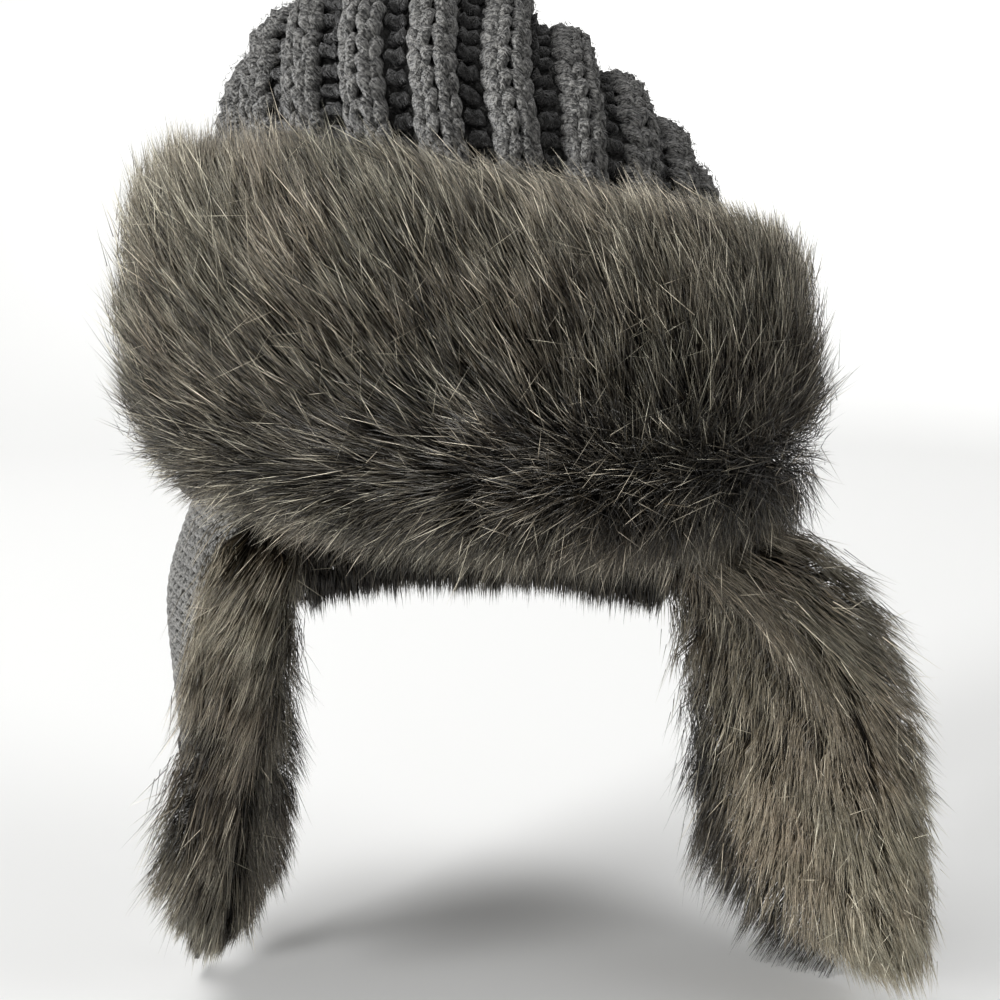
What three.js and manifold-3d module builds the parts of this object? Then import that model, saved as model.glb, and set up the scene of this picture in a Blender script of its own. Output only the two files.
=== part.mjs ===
// A chunky rib-knit trapper hat. Its fur-lined front flap is turned up over the brow, and
// a fur-lined neck flap and two long ear flaps hang from the rim of the crown.
//
// Millimetres, +Z up. The brow faces -Y, and "left" and "right" are as seen from the front,
// so the left ear flap is at -X. The origin is the centre of the head opening at the rim.

import * as THREE from 'three';
import Module from 'manifold-3d';
import { mergeVertices } from 'three/addons/utils/BufferGeometryUtils.js';

const wasm = await Module();
wasm.setup();

// Crown: a tall soft dome, held at its top, so it leans to the left. One row for each level:
// up is the share of the way to the summit, and shift is how far the level sits to the right.
const crownProfile = [
  { up: 0, z: 0, halfWidth: 105, halfDepth: 89, shift: 0 },
  { up: 0.18, z: 45, halfWidth: 103, halfDepth: 90, shift: 0 },
  { up: 0.36, z: 90, halfWidth: 97, halfDepth: 87, shift: -1 },
  { up: 0.5, z: 122, halfWidth: 86, halfDepth: 80, shift: -5 },
  { up: 0.64, z: 150, halfWidth: 68, halfDepth: 66, shift: -14 },
  { up: 0.77, z: 172, halfWidth: 46, halfDepth: 46, shift: -20 },
  { up: 0.89, z: 187, halfWidth: 25, halfDepth: 26, shift: -22 },
  { up: 1, z: 193, halfWidth: 0, halfDepth: 0, shift: -22 },
];
const ribCount = 28; // each rib is two knit columns and one sunken purl column
const ribTurn = THREE.MathUtils.degToRad(4.4); // a purl column, just right of the middle
const ribShape = [-1, 0.5, 1, 1, 0.5]; // heights across one rib, from its purl column
const ribDepth = 4; // from the wall's mean surface to a rib's crest
const shoulderRibDepth = 6; // the ribs stand out most where the dome turns over
const shoulderLevel = 146;
const shoulderSpread = 45;
const purlWall = 3.2; // knit thickness in a purl column
const gatherBack = 0.36; // the ribs gather behind the summit, by this share of the dome,
const gatherAside = 0.1; // and a little to its right
const upright = 2.5; // how far the front ribs run straight up before they gather
const crownRows = 9;
const innerSides = 36;
const innerRows = 8;

// Knit flaps are plain fabric, thinner than the crown.
const flapKnit = 5;
const seam = 0.6; // gap between two sewn pieces
const outOfTheWay = 40; // reach of a cut that clears everything on one side of a sheet
const roomAboveRim = 12;
const rimHalfWidth = 105;
const rimHalfDepth = 88;
const rimGap = 0.9;

// Front flap: turned up over the crown from temple to temple, lower at its right end. One
// row for each angle: thick is the fur's reach from the crown, parting the share of the
// height at which the fur divides, and valley how deep it sinks in there.
const frontFlapEnd = THREE.MathUtils.degToRad(77);
const frontSections = [
  { angle: -80, top: 122, bottom: 6, thick: 30, parting: 0.2, valley: 0 },
  { angle: -52, top: 126, bottom: 2, thick: 38, parting: 0.22, valley: 1 },
  { angle: -20, top: 127, bottom: -5, thick: 44, parting: 0.24, valley: 2 },
  { angle: 12, top: 119, bottom: -9, thick: 46, parting: 0.27, valley: 5 },
  { angle: 45, top: 108, bottom: -13, thick: 44, parting: 0.3, valley: 8 },
  { angle: 66, top: 98, bottom: -15, thick: 39, parting: 0.32, valley: 6 },
  { angle: 80, top: 90, bottom: -15, thick: 34, parting: 0.32, valley: 2 },
];
const frontFurAbove = 12; // fur standing above the flap's knit edge
const frontFurPastEnd = THREE.MathUtils.degToRad(3.5);
const frontFurSteps = 42;
const frontFurRadius = 140;
const frontLockWidth = 21;
const frontLean = 0.6; // how many locks further left each row of tips lies
const frontRounding = 0.55; // a lower power makes the band's sections squarer
const frontEndPower = 7; // a higher power makes the band's two ends blunter
const frontEndFullness = 0.06; // of the fur, where the two ends close
const frontEndHeight = 0.8; // of the band, where the two ends close
const valleyHalfWidth = 0.55; // of a parting, in locks
const earJoinStart = THREE.MathUtils.degToRad(38); // where the band starts to pass over
const earJoinEnd = THREE.MathUtils.degToRad(50); // the ear flaps, and where it has
const behindFur = 3; // the middle of the band's back, behind its edges
const locksBelow = 1.5;
const locksAbove = 4;
const underRim = -8; // inner side of the fur, from the ribs' crests, in front
const besideEarFlap = 7; // and over the ear flaps

// Ear flaps: one row for each level, from the rim down to the knit tip. x and y are the
// middle of the straight line between the two edges, chord is that line's length, bow is
// how far the fabric bulges outwards from it, and turn swings the front edge outwards.
const leftEar = [
  { z: -0.6, x: -80.8, y: -1.2, chord: 111, bow: 24, turn: 0 },
  { z: -40, x: -94, y: -4, chord: 107, bow: 24, turn: -5 },
  { z: -75, x: -98, y: -8, chord: 98, bow: 19, turn: -4 },
  { z: -110, x: -101, y: -13, chord: 86, bow: 11, turn: 2 },
  { z: -142, x: -103, y: -18, chord: 70, bow: 7, turn: 5 },
  { z: -168, x: -104, y: -22, chord: 48, bow: 4, turn: 6 },
  { z: -182, x: -105, y: -24, chord: 20, bow: 2, turn: 6 },
];
const rightEar = [
  { z: -0.6, x: 80.8, y: -1.2, chord: 111, bow: 24, turn: 0 },
  { z: -24, x: 106, y: -4, chord: 109, bow: 16, turn: 16 },
  { z: -62, x: 127, y: -8, chord: 102, bow: 9, turn: 25 },
  { z: -100, x: 136, y: -13, chord: 91, bow: 6, turn: 30 },
  { z: -138, x: 144, y: -19, chord: 75, bow: 4, turn: 34 },
  { z: -170, x: 152, y: -25, chord: 52, bow: 3, turn: 35 },
  { z: -186, x: 157, y: -28, chord: 22, bow: 2, turn: 35 },
];
const rimSeam = leftEar[0].z;
const furRim = rimSeam - seam;
const earPile = 29; // fur standing on the inner face
const earEdgeFur = 17; // fur standing past the edges
const earLip = 7; // fur curling round on to the outer face
const earFurBelowTip = 13;
const earFurEndHeight = 39; // of the stretch over which the fur closes to its end
const earFurEndFullness = 0.07;
const earFurHalfLeast = 26; // half width that the fur keeps down to its end
const edgeSquareness = 0.75; // a lower power makes the fur's section squarer
const earLockShare = 0.9; // of the lock depth
const earLockLength = 39;
const earLocksAround = 10;

// Neck flap: fills the back of the rim between the two ear flaps.
const neckHalfTurn = THREE.MathUtils.degToRad(52);
const neckDrop = 54; // at the middle of the back
const neckDropAtEars = 68;
const neckFlare = 5; // how far the bottom edge stands back from the rim
const neckPile = 20;
const neckFurBelow = 12;
const neckLip = 6;
const neckFurSteps = 18;
const neckLockShare = 0.8; // of the lock depth
const neckSag = 2; // how far the fur's lower half hangs past its top

// Webbing tabs sewn down the outer face of each ear flap.
const tabWidth = 15;
const tabThickness = 2;
const tabTop = -104;
const tabBelowTip = 15;
const tabEndFrom = 0.93; // share of its length where the tab's end starts to narrow
const tabEndWidth = 0.75; // share of its width at the end

const degrees = THREE.MathUtils.degToRad;
const mix = THREE.MathUtils.lerp;

// Reads every column of a table at one value of its first-named column, on a smooth curve.
function readTable(rows, key, value) {
  const rising = rows[rows.length - 1][key] > rows[0][key] ? 1 : -1;
  let i = 0;
  while (i < rows.length - 2 && (value - rows[i + 1][key]) * rising > 0) i += 1;
  const span = rows[i + 1][key] - rows[i][key];
  const f = THREE.MathUtils.clamp((value - rows[i][key]) / span, 0, 1);
  const slopeAt = (k, column) => {
    const before = rows[Math.max(k - 1, 0)];
    const after = rows[Math.min(k + 1, rows.length - 1)];
    return (after[column] - before[column]) / (after[key] - before[key]);
  };
  const result = { [key]: value };
  for (const column of Object.keys(rows[0])) {
    if (column === key) continue;
    const start = rows[i][column];
    const end = rows[i + 1][column];
    const startSlope = slopeAt(i, column) * span;
    const endSlope = slopeAt(i + 1, column) * span;
    result[column] =
      (2 * f ** 3 - 3 * f ** 2 + 1) * start + (f ** 3 - 2 * f ** 2 + f) * startSlope +
      (3 * f ** 2 - 2 * f ** 3) * end + (f ** 3 - f ** 2) * endSlope;
  }
  return result;
}

// A geometry from points and triangles, welded, without empty triangles, faces outwards.
function closedGeometry(points, triangles) {
  const loose = new THREE.BufferGeometry().setFromPoints(points);
  loose.setIndex(triangles.flat());
  const welded = mergeVertices(loose, 1e-4);
  const index = welded.getIndex().array;
  const position = welded.getAttribute('position');
  const corner = (i) => new THREE.Vector3().fromBufferAttribute(position, i);
  const kept = [];
  let volume = 0;
  for (let i = 0; i < index.length; i += 3) {
    const [a, b, c] = [index[i], index[i + 1], index[i + 2]];
    if (a === b || b === c || a === c) continue;
    kept.push(a, b, c);
    volume += corner(a).dot(corner(b).cross(corner(c)));
  }
  if (volume < 0) kept.reverse();
  welded.setIndex(kept);
  return welded;
}

// A solid through a stack of closed rings that all have the same number of points.
function loftRings(rings) {
  const count = rings[0].length;
  const points = rings.flat();
  const triangles = [];
  for (let r = 0; r < rings.length - 1; r += 1) {
    for (let i = 0; i < count; i += 1) {
      const a = r * count + i;
      const b = r * count + ((i + 1) % count);
      triangles.push([a, b, b + count], [a, b + count, a + count]);
    }
  }
  for (const last of [false, true]) {
    const ring = last ? rings[rings.length - 1] : rings[0];
    const first = last ? (rings.length - 1) * count : 0;
    const middle = ring.reduce((sum, p) => sum.add(p), new THREE.Vector3()).divideScalar(count);
    const hub = points.push(middle) - 1;
    for (let i = 0; i < count; i += 1) {
      const a = first + i;
      const b = first + ((i + 1) % count);
      triangles.push(last ? [a, b, hub] : [b, a, hub]);
    }
  }
  return closedGeometry(points, triangles);
}

// A solid between two faces, each a function of across and along from 0 to 1.
function sheetBetween(outer, inner, acrossSteps, alongSteps) {
  const points = [];
  const triangles = [];
  const width = acrossSteps + 1;
  for (const face of [outer, inner]) {
    for (let j = 0; j <= alongSteps; j += 1) {
      for (let i = 0; i <= acrossSteps; i += 1) points.push(face(i / acrossSteps, j / alongSteps));
    }
  }
  const back = width * (alongSteps + 1);
  const quad = (a, b, c, d) => triangles.push([a, b, c], [a, c, d]);
  for (let j = 0; j < alongSteps; j += 1) {
    for (let i = 0; i < acrossSteps; i += 1) {
      const a = j * width + i;
      quad(a, a + 1, a + 1 + width, a + width);
      quad(back + a, back + a + width, back + a + 1 + width, back + a + 1);
    }
    const start = j * width;
    const end = start + acrossSteps;
    quad(start, start + width, back + start + width, back + start);
    quad(end, back + end, back + end + width, end + width);
  }
  for (let i = 0; i < acrossSteps; i += 1) {
    const low = alongSteps * width + i;
    quad(i + 1, i, back + i, back + i + 1);
    quad(low, low + 1, back + low + 1, back + low);
  }
  return closedGeometry(points, triangles);
}

function toSolid(geometry) {
  const vertProperties = new Float32Array(geometry.getAttribute('position').array);
  const triVerts = new Uint32Array(geometry.getIndex().array);
  return new wasm.Manifold(new wasm.Mesh({ numProp: 3, vertProperties, triVerts }));
}

function toGeometry(solid) {
  const mesh = solid.getMesh();
  const geometry = new THREE.BufferGeometry();
  geometry.setAttribute('position', new THREE.BufferAttribute(mesh.vertProperties, 3));
  geometry.setIndex(new THREE.BufferAttribute(mesh.triVerts, 1));
  return geometry;
}

// What is left of a body, without loose crumbs, after the cutters are taken out of it.
function cut(body, ...cutters) {
  const left = cutters.reduce((solid, cutter) => solid.subtract(toSolid(cutter)), toSolid(body));
  const largestFirst = left.decompose().sort((a, b) => b.volume() - a.volume());
  return toGeometry(largestFirst[0]);
}

// Crown

// A point on the crown's mean outer face. Angle 0 is the front, up goes from 0 to 1.
function domePoint(angle, up) {
  const row = readTable(crownProfile, 'up', up);
  return new THREE.Vector3(
    row.shift + row.halfWidth * Math.sin(angle), -row.halfDepth * Math.cos(angle), row.z);
}

// The same face followed along a rib, from its angle at the rim to where the ribs gather.
function ribPoint(rimAngle, along) {
  const back = gatherBack * THREE.MathUtils.smoothstep(along, 0.2, 1);
  const aside = gatherAside * THREE.MathUtils.smoothstep(along, 0.3, 0.8);
  const across = (1 - along) * (1 + upright * along ** 4) * Math.sin(rimAngle) + aside;
  const ahead = (1 - along) * Math.cos(rimAngle) - back;
  const outFromSummit = Math.min(Math.hypot(across, ahead), 1);
  return domePoint(Math.atan2(across, ahead), 1 - outFromSummit);
}

// Moves a point of a face straight out of it. place(a, b) is a point of the face.
function offsetFrom(place, a, b, offset, level) {
  const tiny = 1e-3;
  const aWay = place(a + tiny, b).sub(place(a - tiny, b));
  const bWay = place(a, Math.min(b + tiny, 1)).sub(place(a, Math.max(b - tiny, 0)));
  const outwards = aWay.cross(bWay);
  if (level) outwards.setZ(0);
  return place(a, b).addScaledVector(outwards.normalize(), offset);
}

function ribDepthAt(z) {
  const shoulder = Math.exp(-(((z - shoulderLevel) / shoulderSpread) ** 2));
  return mix(ribDepth, shoulderRibDepth, shoulder);
}

// The dome at an offset from its mean face, closed below by a flat face at one level.
// place is the face as a function, and offsetAt gets the ribs' depth there, the place round
// the dome and the place along the rib.
function domeSolid(place, around, rows, offsetAt, bottom) {
  const rings = [];
  const gather = 1 - 0.35 / rows;
  for (let r = 0; r <= rows; r += 1) {
    const along = (r / rows) * gather;
    rings.push(Array.from({ length: around }, (_, i) => {
      const angle = ribTurn + (i / around) * 2 * Math.PI;
      const depth = ribDepthAt(place(angle, along).z);
      return offsetFrom(place, angle, along, offsetAt(depth, i, along), r === 0);
    }));
  }
  if (bottom !== 0) rings.unshift(rings[0].map((p) => p.clone().setZ(bottom)));
  return loftRings(rings);
}

function makeCrown() {
  const gathered = (along) => THREE.MathUtils.smoothstep(1 - along, -0.1, 0.15);
  const outside = domeSolid(
    ribPoint, ribCount * ribShape.length, crownRows,
    (depth, i, along) => ribShape[i % ribShape.length] * depth * gathered(along), 0);
  const inside = domeSolid(
    domePoint, innerSides, innerRows, (depth) => -depth - purlWall, -5);
  return cut(outside, inside);
}

const crestEnvelope = (extra, bottom) => domeSolid(
  ribPoint, innerSides, crownRows, (depth) => depth + extra, bottom);

// Fur

// Fur lies in pointed locks, and each row of tips covers the roots of the next row.
// across and along count locks.
function lockHeight(across, along) {
  const row = Math.floor(along + 1e-6);
  const toTip = along - row;
  const lane = across + (Math.abs(row) % 2) / 2;
  const aside = Math.abs((lane - Math.floor(lane)) * 2 - 1);
  return toTip * (1 - aside * (0.35 + 0.65 * toTip));
}
const lockDepth = 6;
const lockSamples = [0, 0.5, 0.93]; // where each lock is measured, from root to tip
const pointsPerLock = 3; // across each lock
const lastRowLeast = 0.2; // a shorter last row of locks is left out
const rowStart = 1e-4; // just past the tips of one row, at the roots of the next
const backPlaces = [0.7, 0.35]; // heights at which the band's flat back is measured

// Pushes the points of a flat ring outwards by their own heights.
function reliefRing(ring, heights) {
  const neighbour = (i, step) => ring[(i + step + ring.length) % ring.length];
  const facing = new THREE.Vector3();
  ring.forEach((point, i) => facing.add(point.clone().cross(neighbour(i, 1))));
  return ring.map((point, i) => {
    const outwards = neighbour(i, 1).clone().sub(neighbour(i, -1)).cross(facing).normalize();
    return point.clone().addScaledVector(outwards, heights[i]);
  });
}

// Front flap

const frontSide = (angle) => readTable(frontSections, 'angle', THREE.MathUtils.radToDeg(angle));

// The share of the way to the summit at which the crown passes a level.
function upAtLevel(z) {
  let low = 0;
  let high = 1;
  for (let i = 0; i < 24; i += 1) {
    const middle = (low + high) / 2;
    if (domePoint(0, middle).z < z) low = middle;
    else high = middle;
  }
  return low;
}

// A point at a distance outside the ribs' crests, at one level.
function besideCrown(angle, z, distance) {
  const up = upAtLevel(Math.max(z, 0));
  return offsetFrom(domePoint, angle, up, ribDepthAt(z) + distance, true).setZ(z);
}

function frontFlapSheet(clear) {
  const end = frontFlapEnd + clear / rimHalfWidth;
  const face = (distance) => (across, along) => {
    const angle = mix(-end, end, across);
    const top = frontSide(angle).top - frontFurAbove + clear;
    return besideCrown(angle, mix(1 - clear, top, along), distance);
  };
  return sheetBetween(face(rimGap + flapKnit + clear), face(rimGap - clear), 22, 5);
}

// The band of fur as a loft of upright sections. Its locks run up and down from a parting.
// With a clearance it is the smooth form that keeps other pieces away.
function frontFurBody(clear = 0) {
  const [rootOf, middleOf, tipOf] = lockSamples;
  const places = [-locksBelow, -1 - rowStart - rootOf, -tipOf, -middleOf];
  for (let row = 0; row < locksAbove; row += 1) places.push(...lockSamples.map((s) => s + row));
  places.push(locksAbove);
  const end = frontFlapEnd + frontFurPastEnd + clear / frontFurRadius;
  const rings = [];
  for (let step = 0; step <= frontFurSteps; step += 1) {
    const share = (step / frontFurSteps) * 2 - 1;
    const angle = share * end;
    const side = frontSide(angle);
    const besideEar = THREE.MathUtils.smoothstep(Math.abs(angle), earJoinStart, earJoinEnd);
    const inner = mix(underRim, besideEarFlap, besideEar);
    const fullness = mix(frontEndFullness, 1, Math.sqrt(1 - Math.abs(share) ** frontEndPower));
    const middle = (side.top + side.bottom) / 2;
    const half = ((side.top - side.bottom) / 2) * mix(frontEndHeight, 1, fullness);
    const lane = (angle * frontFurRadius) / frontLockWidth;
    const ring = [];
    const heights = [];
    for (const place of places) {
      const upShare = place < 0
        ? side.parting * (1 + place / locksBelow)
        : mix(side.parting, 1, place / locksAbove);
      const bulge = Math.sin(Math.PI * upShare) ** frontRounding;
      const valley = side.valley * Math.exp(-((place / valleyHalfWidth) ** 2));
      const distance = mix(inner, side.thick, bulge * fullness) - valley;
      ring.push(besideCrown(angle, middle - half * Math.cos(Math.PI * upShare), distance));
      const leaning = lane + Math.max(place, 0) * frontLean;
      heights.push(clear || lockDepth * fullness * lockHeight(leaning, Math.abs(place)));
    }
    for (const up of backPlaces) {
      ring.push(besideCrown(angle, mix(middle - half, middle + half, up), inner - behindFur));
      heights.push(clear);
    }
    rings.push(reliefRing(ring, heights));
  }
  return loftRings(rings);
}

// A knit sheet from its face function. With a clearance it is the room that keeps other
// pieces away, which has one more row, above the rim, where along is below 0.
function roomySheet(face, acrossSteps, alongSteps, clear, reach) {
  const above = clear ? 1 : 0;
  const slanted = clear * 2; // the offset is level, and the sheet leans
  const faceAt = (through) => (across, share) => face(through)(
    across, (share * (alongSteps + above) - above) / alongSteps);
  return sheetBetween(
    faceAt(flapKnit / 2 + slanted + reach), faceAt(-flapKnit / 2 - slanted),
    acrossSteps, alongSteps + above);
}

// Turns 0 to 1 into -1 to 1, and sets only the two edges further out.
const widened = (across, past) => (
  across * 2 - 1 + (across === 0 ? -past : 0) + (across === 1 ? past : 0));

// Ear flaps

// The place across (-1 back edge, 1 front edge) and through (outwards from the fabric's
// middle) of one level of an ear flap.
function earPoint(rows, outwardSign, z, across, through) {
  const row = readTable(rows, 'z', Math.max(z, rows[rows.length - 1].z));
  const turn = degrees(row.turn);
  const frontWay = new THREE.Vector2(Math.sin(turn) * outwardSign, -Math.cos(turn));
  const outWay = new THREE.Vector2(Math.cos(turn) * outwardSign, Math.sin(turn));
  const half = row.chord / 2;
  const bulge = row.bow * Math.max(1 - across ** 2, -0.6);
  const flat = new THREE.Vector2(row.x, row.y)
    .addScaledVector(frontWay, across * half)
    .addScaledVector(outWay, bulge + through);
  return new THREE.Vector3(flat.x, flat.y, z);
}

// Levels of a flap from the rim to its knit tip, closer together near the tip.
function earLevel(rows, along) {
  const bottom = rows[rows.length - 1].z;
  return mix(rows[0].z, bottom, Math.sin((along * Math.PI) / 2) ** 0.9);
}

function earSheet(rows, outwardSign, clear = 0, reach = 0) {
  const face = (through) => (across, along) => {
    const z = earLevel(rows, Math.max(along, 0));
    const past = (clear * 3) / readTable(rows, 'z', z).chord;
    const point = earPoint(rows, outwardSign, z, widened(across, past), through);
    if (along < 0) point.z = roomAboveRim;
    if (along === 1) point.z -= clear;
    return point;
  };
  return roomySheet(face, 8, 12, clear, reach);
}

function earFurBody(rows, outwardSign, clear = 0) {
  const tip = rows[rows.length - 1].z;
  const bottom = tip - earFurBelowTip;
  const top = furRim + (clear ? roomAboveRim : 0);
  const lockRows = (furRim - bottom) / earLockLength;
  const around = earLocksAround * pointsPerLock;
  const places = [];
  for (let row = 0; row < lockRows; row += 1) {
    for (const sample of lockSamples) {
      if (row + sample < lockRows - lastRowLeast) places.push(row + sample);
    }
  }
  places.push(lockRows);
  const rings = places.map((place) => {
    const z = furRim - place * earLockLength;
    const row = readTable(rows, 'z', Math.max(z, tip));
    const toEnd = THREE.MathUtils.clamp((z - bottom) / earFurEndHeight, 0, 1);
    const closing = mix(earFurEndFullness, 1, Math.sqrt(toEnd * (2 - toEnd)));
    const half = Math.max(row.chord / 2 + earEdgeFur, earFurHalfLeast) * closing;
    const ring = [];
    const heights = [];
    for (let i = 0; i < around; i += 1) {
      const turn = (i / around) * 2 * Math.PI;
      const across = Math.sign(Math.cos(turn)) * Math.abs(Math.cos(turn)) ** edgeSquareness;
      const depth = (Math.sin(turn) > 0 ? earLip : -earPile) + Math.sign(Math.sin(turn)) * flapKnit / 2;
      const through = depth * Math.abs(Math.sin(turn)) ** edgeSquareness;
      const reach = (across * half) / (row.chord / 2);
      const point = earPoint(
        rows, outwardSign, Math.max(z, tip), reach, through * closing);
      ring.push(point.setZ(place === 0 ? top : z));
      const lock = lockHeight(i / pointsPerLock, place);
      heights.push(clear || lockDepth * earLockShare * closing * lock);
    }
    return reliefRing(ring, heights);
  });
  return loftRings(rings);
}

// Neck flap

// The place across (-1 left ear flap, 1 right ear flap) and through of one level.
function neckPoint(z, across, through) {
  const level = Math.min(z, rimSeam);
  const left = earPoint(leftEar, -1, level, -1, 0);
  const right = earPoint(rightEar, 1, level, -1, 0);
  const middle = left.clone().add(right).divideScalar(2);
  const half = right.clone().sub(left).divideScalar(2);
  const back = rimHalfDepth + neckFlare * Math.min(-level / neckDrop, 1.3);
  const turn = across * neckHalfTurn;
  const place = (angle) => {
    const depth = (Math.cos(angle) - Math.cos(neckHalfTurn)) / (1 - Math.cos(neckHalfTurn));
    const point = middle.clone().addScaledVector(half, Math.sin(angle) / Math.sin(neckHalfTurn));
    return point.setY(point.y + (back - middle.y) * depth).setZ(z);
  };
  const along = place(turn + 1e-3).sub(place(turn - 1e-3)).normalize();
  const outwards = new THREE.Vector3(-along.y, along.x, 0);
  return place(turn).addScaledVector(outwards, through);
}

const neckBottom = (across) => -mix(neckDrop, neckDropAtEars, across ** 4);

function neckSheet(clear = 0, reach = 0) {
  const face = (through) => (across, along) => {
    const place = widened(across, (clear * 2) / rimHalfWidth);
    const point = neckPoint(mix(rimSeam, neckBottom(place), Math.max(along, 0)), place, through);
    if (along < 0) point.z = roomAboveRim;
    if (along === 1) point.z -= clear;
    return point;
  };
  return roomySheet(face, 14, 4, clear, reach);
}

function neckFurBody() {
  const sides = [
    { down: 0, through: neckLip, lock: 0 },
    { down: 0.45, through: neckLip, lock: 0 },
    { down: 0.8, through: neckLip, lock: 0 },
    { down: 1, through: 0, lock: 0.3 },
    { down: 1, through: -neckPile * 0.6, lock: 0.95 },
    { down: 0.84, through: -neckPile, lock: 0.7 },
    { down: 0.54, through: -neckPile - neckSag, lock: 0.02 },
    { down: 0.5, through: -neckPile - neckSag, lock: 0.93 },
    { down: 0.25, through: -neckPile - neckSag, lock: 0.5 },
    { down: 0, through: -neckPile, lock: 0 },
  ];
  const rings = [];
  for (let step = 0; step <= neckFurSteps; step += 1) {
    const across = (step / neckFurSteps) * 2 - 1;
    const bottom = neckBottom(across) - neckFurBelow;
    const ring = sides.map(({ down, through }) => neckPoint(
      mix(furRim, bottom, down), across, through - Math.sign(-through) * (flapKnit / 2)));
    const row = (down) => (down > 0.5 ? 1 : 0);
    const heights = sides.map(({ down, lock }) => (
      lockDepth * neckLockShare * lockHeight(step / pointsPerLock, row(down) + lock)));
    rings.push(reliefRing(ring, heights));
  }
  return loftRings(rings);
}

// Webbing tabs

function tabStrip(rows, outwardSign, clear = 0, reach = 0) {
  const tip = rows[rows.length - 1].z;
  const bottom = tip - tabBelowTip;
  const lastLevel = rows[rows.length - 2].z;
  const face = (through) => (across, along) => {
    const z = mix(tabTop + clear, bottom - clear, along);
    const level = Math.max(z, lastLevel);
    const row = readTable(rows, 'z', level);
    const half = (tabWidth / 2 + clear) * (along > tabEndFrom && !clear ? tabEndWidth : 1);
    const place = ((across * 2 - 1) * half) / (row.chord / 2);
    return earPoint(rows, outwardSign, level, place, through).setZ(z);
  };
  const onFlap = flapKnit / 2 + seam;
  return sheetBetween(
    face(onFlap + tabThickness + clear + reach), face(onFlap - clear), 2, 8);
}

// Assembly

const heatherKnit = { color: 0x66655f, roughness: 1 };
const plainKnit = { color: 0x85827c, roughness: 1 };
const fur = { color: 0x5d564b, roughness: 0.75 };
const webbing = { color: 0x15151a, roughness: 0.8 };

const hat = new THREE.Group();

function add(name, geometry, finish) {
  const mesh = new THREE.Mesh(geometry, new THREE.MeshStandardMaterial(finish));
  mesh.name = name;
  hat.add(mesh);
}

const ears = [
  { side: 'left', rows: leftEar, outwardSign: -1 },
  { side: 'right', rows: rightEar, outwardSign: 1 },
];
const earRooms = ears.map(({ rows, outwardSign }) => earSheet(rows, outwardSign, seam));
const earOuterRooms = ears.map(({ rows, outwardSign }) => earSheet(
  rows, outwardSign, seam, outOfTheWay));
const earFurRooms = ears.map(({ rows, outwardSign }) => earFurBody(
  rows, outwardSign, lockDepth + seam));
const frontFurRoom = frontFurBody(lockDepth + seam);
const neckRoom = neckSheet(seam);
const neckOuterRoom = neckSheet(seam, outOfTheWay);

add('crown', makeCrown(), heatherKnit);
add('front_flap', frontFlapSheet(0), plainKnit);
add('front_fur', cut(
  frontFurBody(), crestEnvelope(rimGap + 0.2, -rimGap), frontFlapSheet(seam), ...earRooms), fur);
ears.forEach(({ side, rows, outwardSign }, i) => {
  add(`ear_flap_${side}`, earSheet(rows, outwardSign), plainKnit);
  add(`ear_fur_${side}`, cut(
    earFurBody(rows, outwardSign), earRooms[i], earOuterRooms[i],
    tabStrip(rows, outwardSign, seam, outOfTheWay), frontFurRoom, neckRoom, neckOuterRoom), fur);
  add(`tab_${side}`, cut(
    tabStrip(rows, outwardSign), earSheet(rows, outwardSign, seam / 2)), webbing);
});
add('neck_flap', cut(neckSheet(), ...earRooms), plainKnit);
add('neck_fur', cut(
  neckFurBody(), neckRoom, neckOuterRoom, ...earOuterRooms, ...earFurRooms), fur);

export default hat;
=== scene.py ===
import math
import bpy
import numpy as np
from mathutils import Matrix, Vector


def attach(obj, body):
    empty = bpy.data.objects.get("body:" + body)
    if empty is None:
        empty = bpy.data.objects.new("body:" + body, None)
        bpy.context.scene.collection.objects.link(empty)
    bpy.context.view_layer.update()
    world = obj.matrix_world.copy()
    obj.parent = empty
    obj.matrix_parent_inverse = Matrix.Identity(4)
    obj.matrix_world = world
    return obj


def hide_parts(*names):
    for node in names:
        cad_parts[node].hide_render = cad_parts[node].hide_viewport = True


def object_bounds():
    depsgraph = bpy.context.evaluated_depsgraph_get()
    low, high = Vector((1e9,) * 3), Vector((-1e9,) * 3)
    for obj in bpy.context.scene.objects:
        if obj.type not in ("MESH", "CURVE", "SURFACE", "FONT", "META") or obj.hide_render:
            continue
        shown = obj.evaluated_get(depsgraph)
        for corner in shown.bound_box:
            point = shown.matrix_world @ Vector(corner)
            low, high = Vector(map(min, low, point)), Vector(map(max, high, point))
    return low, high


# A chunky rib-knit trapper hat with a turned-up fur front and hanging fur-lined ear flaps.
# Metres, +Z up. The brow faces -Y, and left and right are as seen from the front.

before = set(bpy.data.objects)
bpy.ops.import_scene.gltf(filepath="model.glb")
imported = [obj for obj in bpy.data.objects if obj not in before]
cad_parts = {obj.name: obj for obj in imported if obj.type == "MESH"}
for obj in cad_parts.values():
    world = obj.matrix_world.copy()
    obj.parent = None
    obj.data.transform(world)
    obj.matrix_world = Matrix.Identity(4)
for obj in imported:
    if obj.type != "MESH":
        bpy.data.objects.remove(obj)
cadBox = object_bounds()
chance = np.random.default_rng(11)


# Small tools

def mix(start, end, share):
    return start + (end - start) * share


def smoothstep(value, start, end):
    share = np.clip((value - start) / (end - start), 0, 1)
    return share * share * (3 - 2 * share)


def unit(vectors):
    return vectors / np.maximum(np.linalg.norm(vectors, axis=-1, keepdims=True), 1e-9)


def stack(x, y, z):
    return np.stack(np.broadcast_arrays(x, y, z), axis=-1)


def power(value, exponent):
    return np.sign(value) * np.abs(value) ** exponent


# A table as a list of rows, each with its values under the columns' names.
def tableOf(columns, *rows):
    return [dict(zip(columns.split(), row)) for row in rows]


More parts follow.
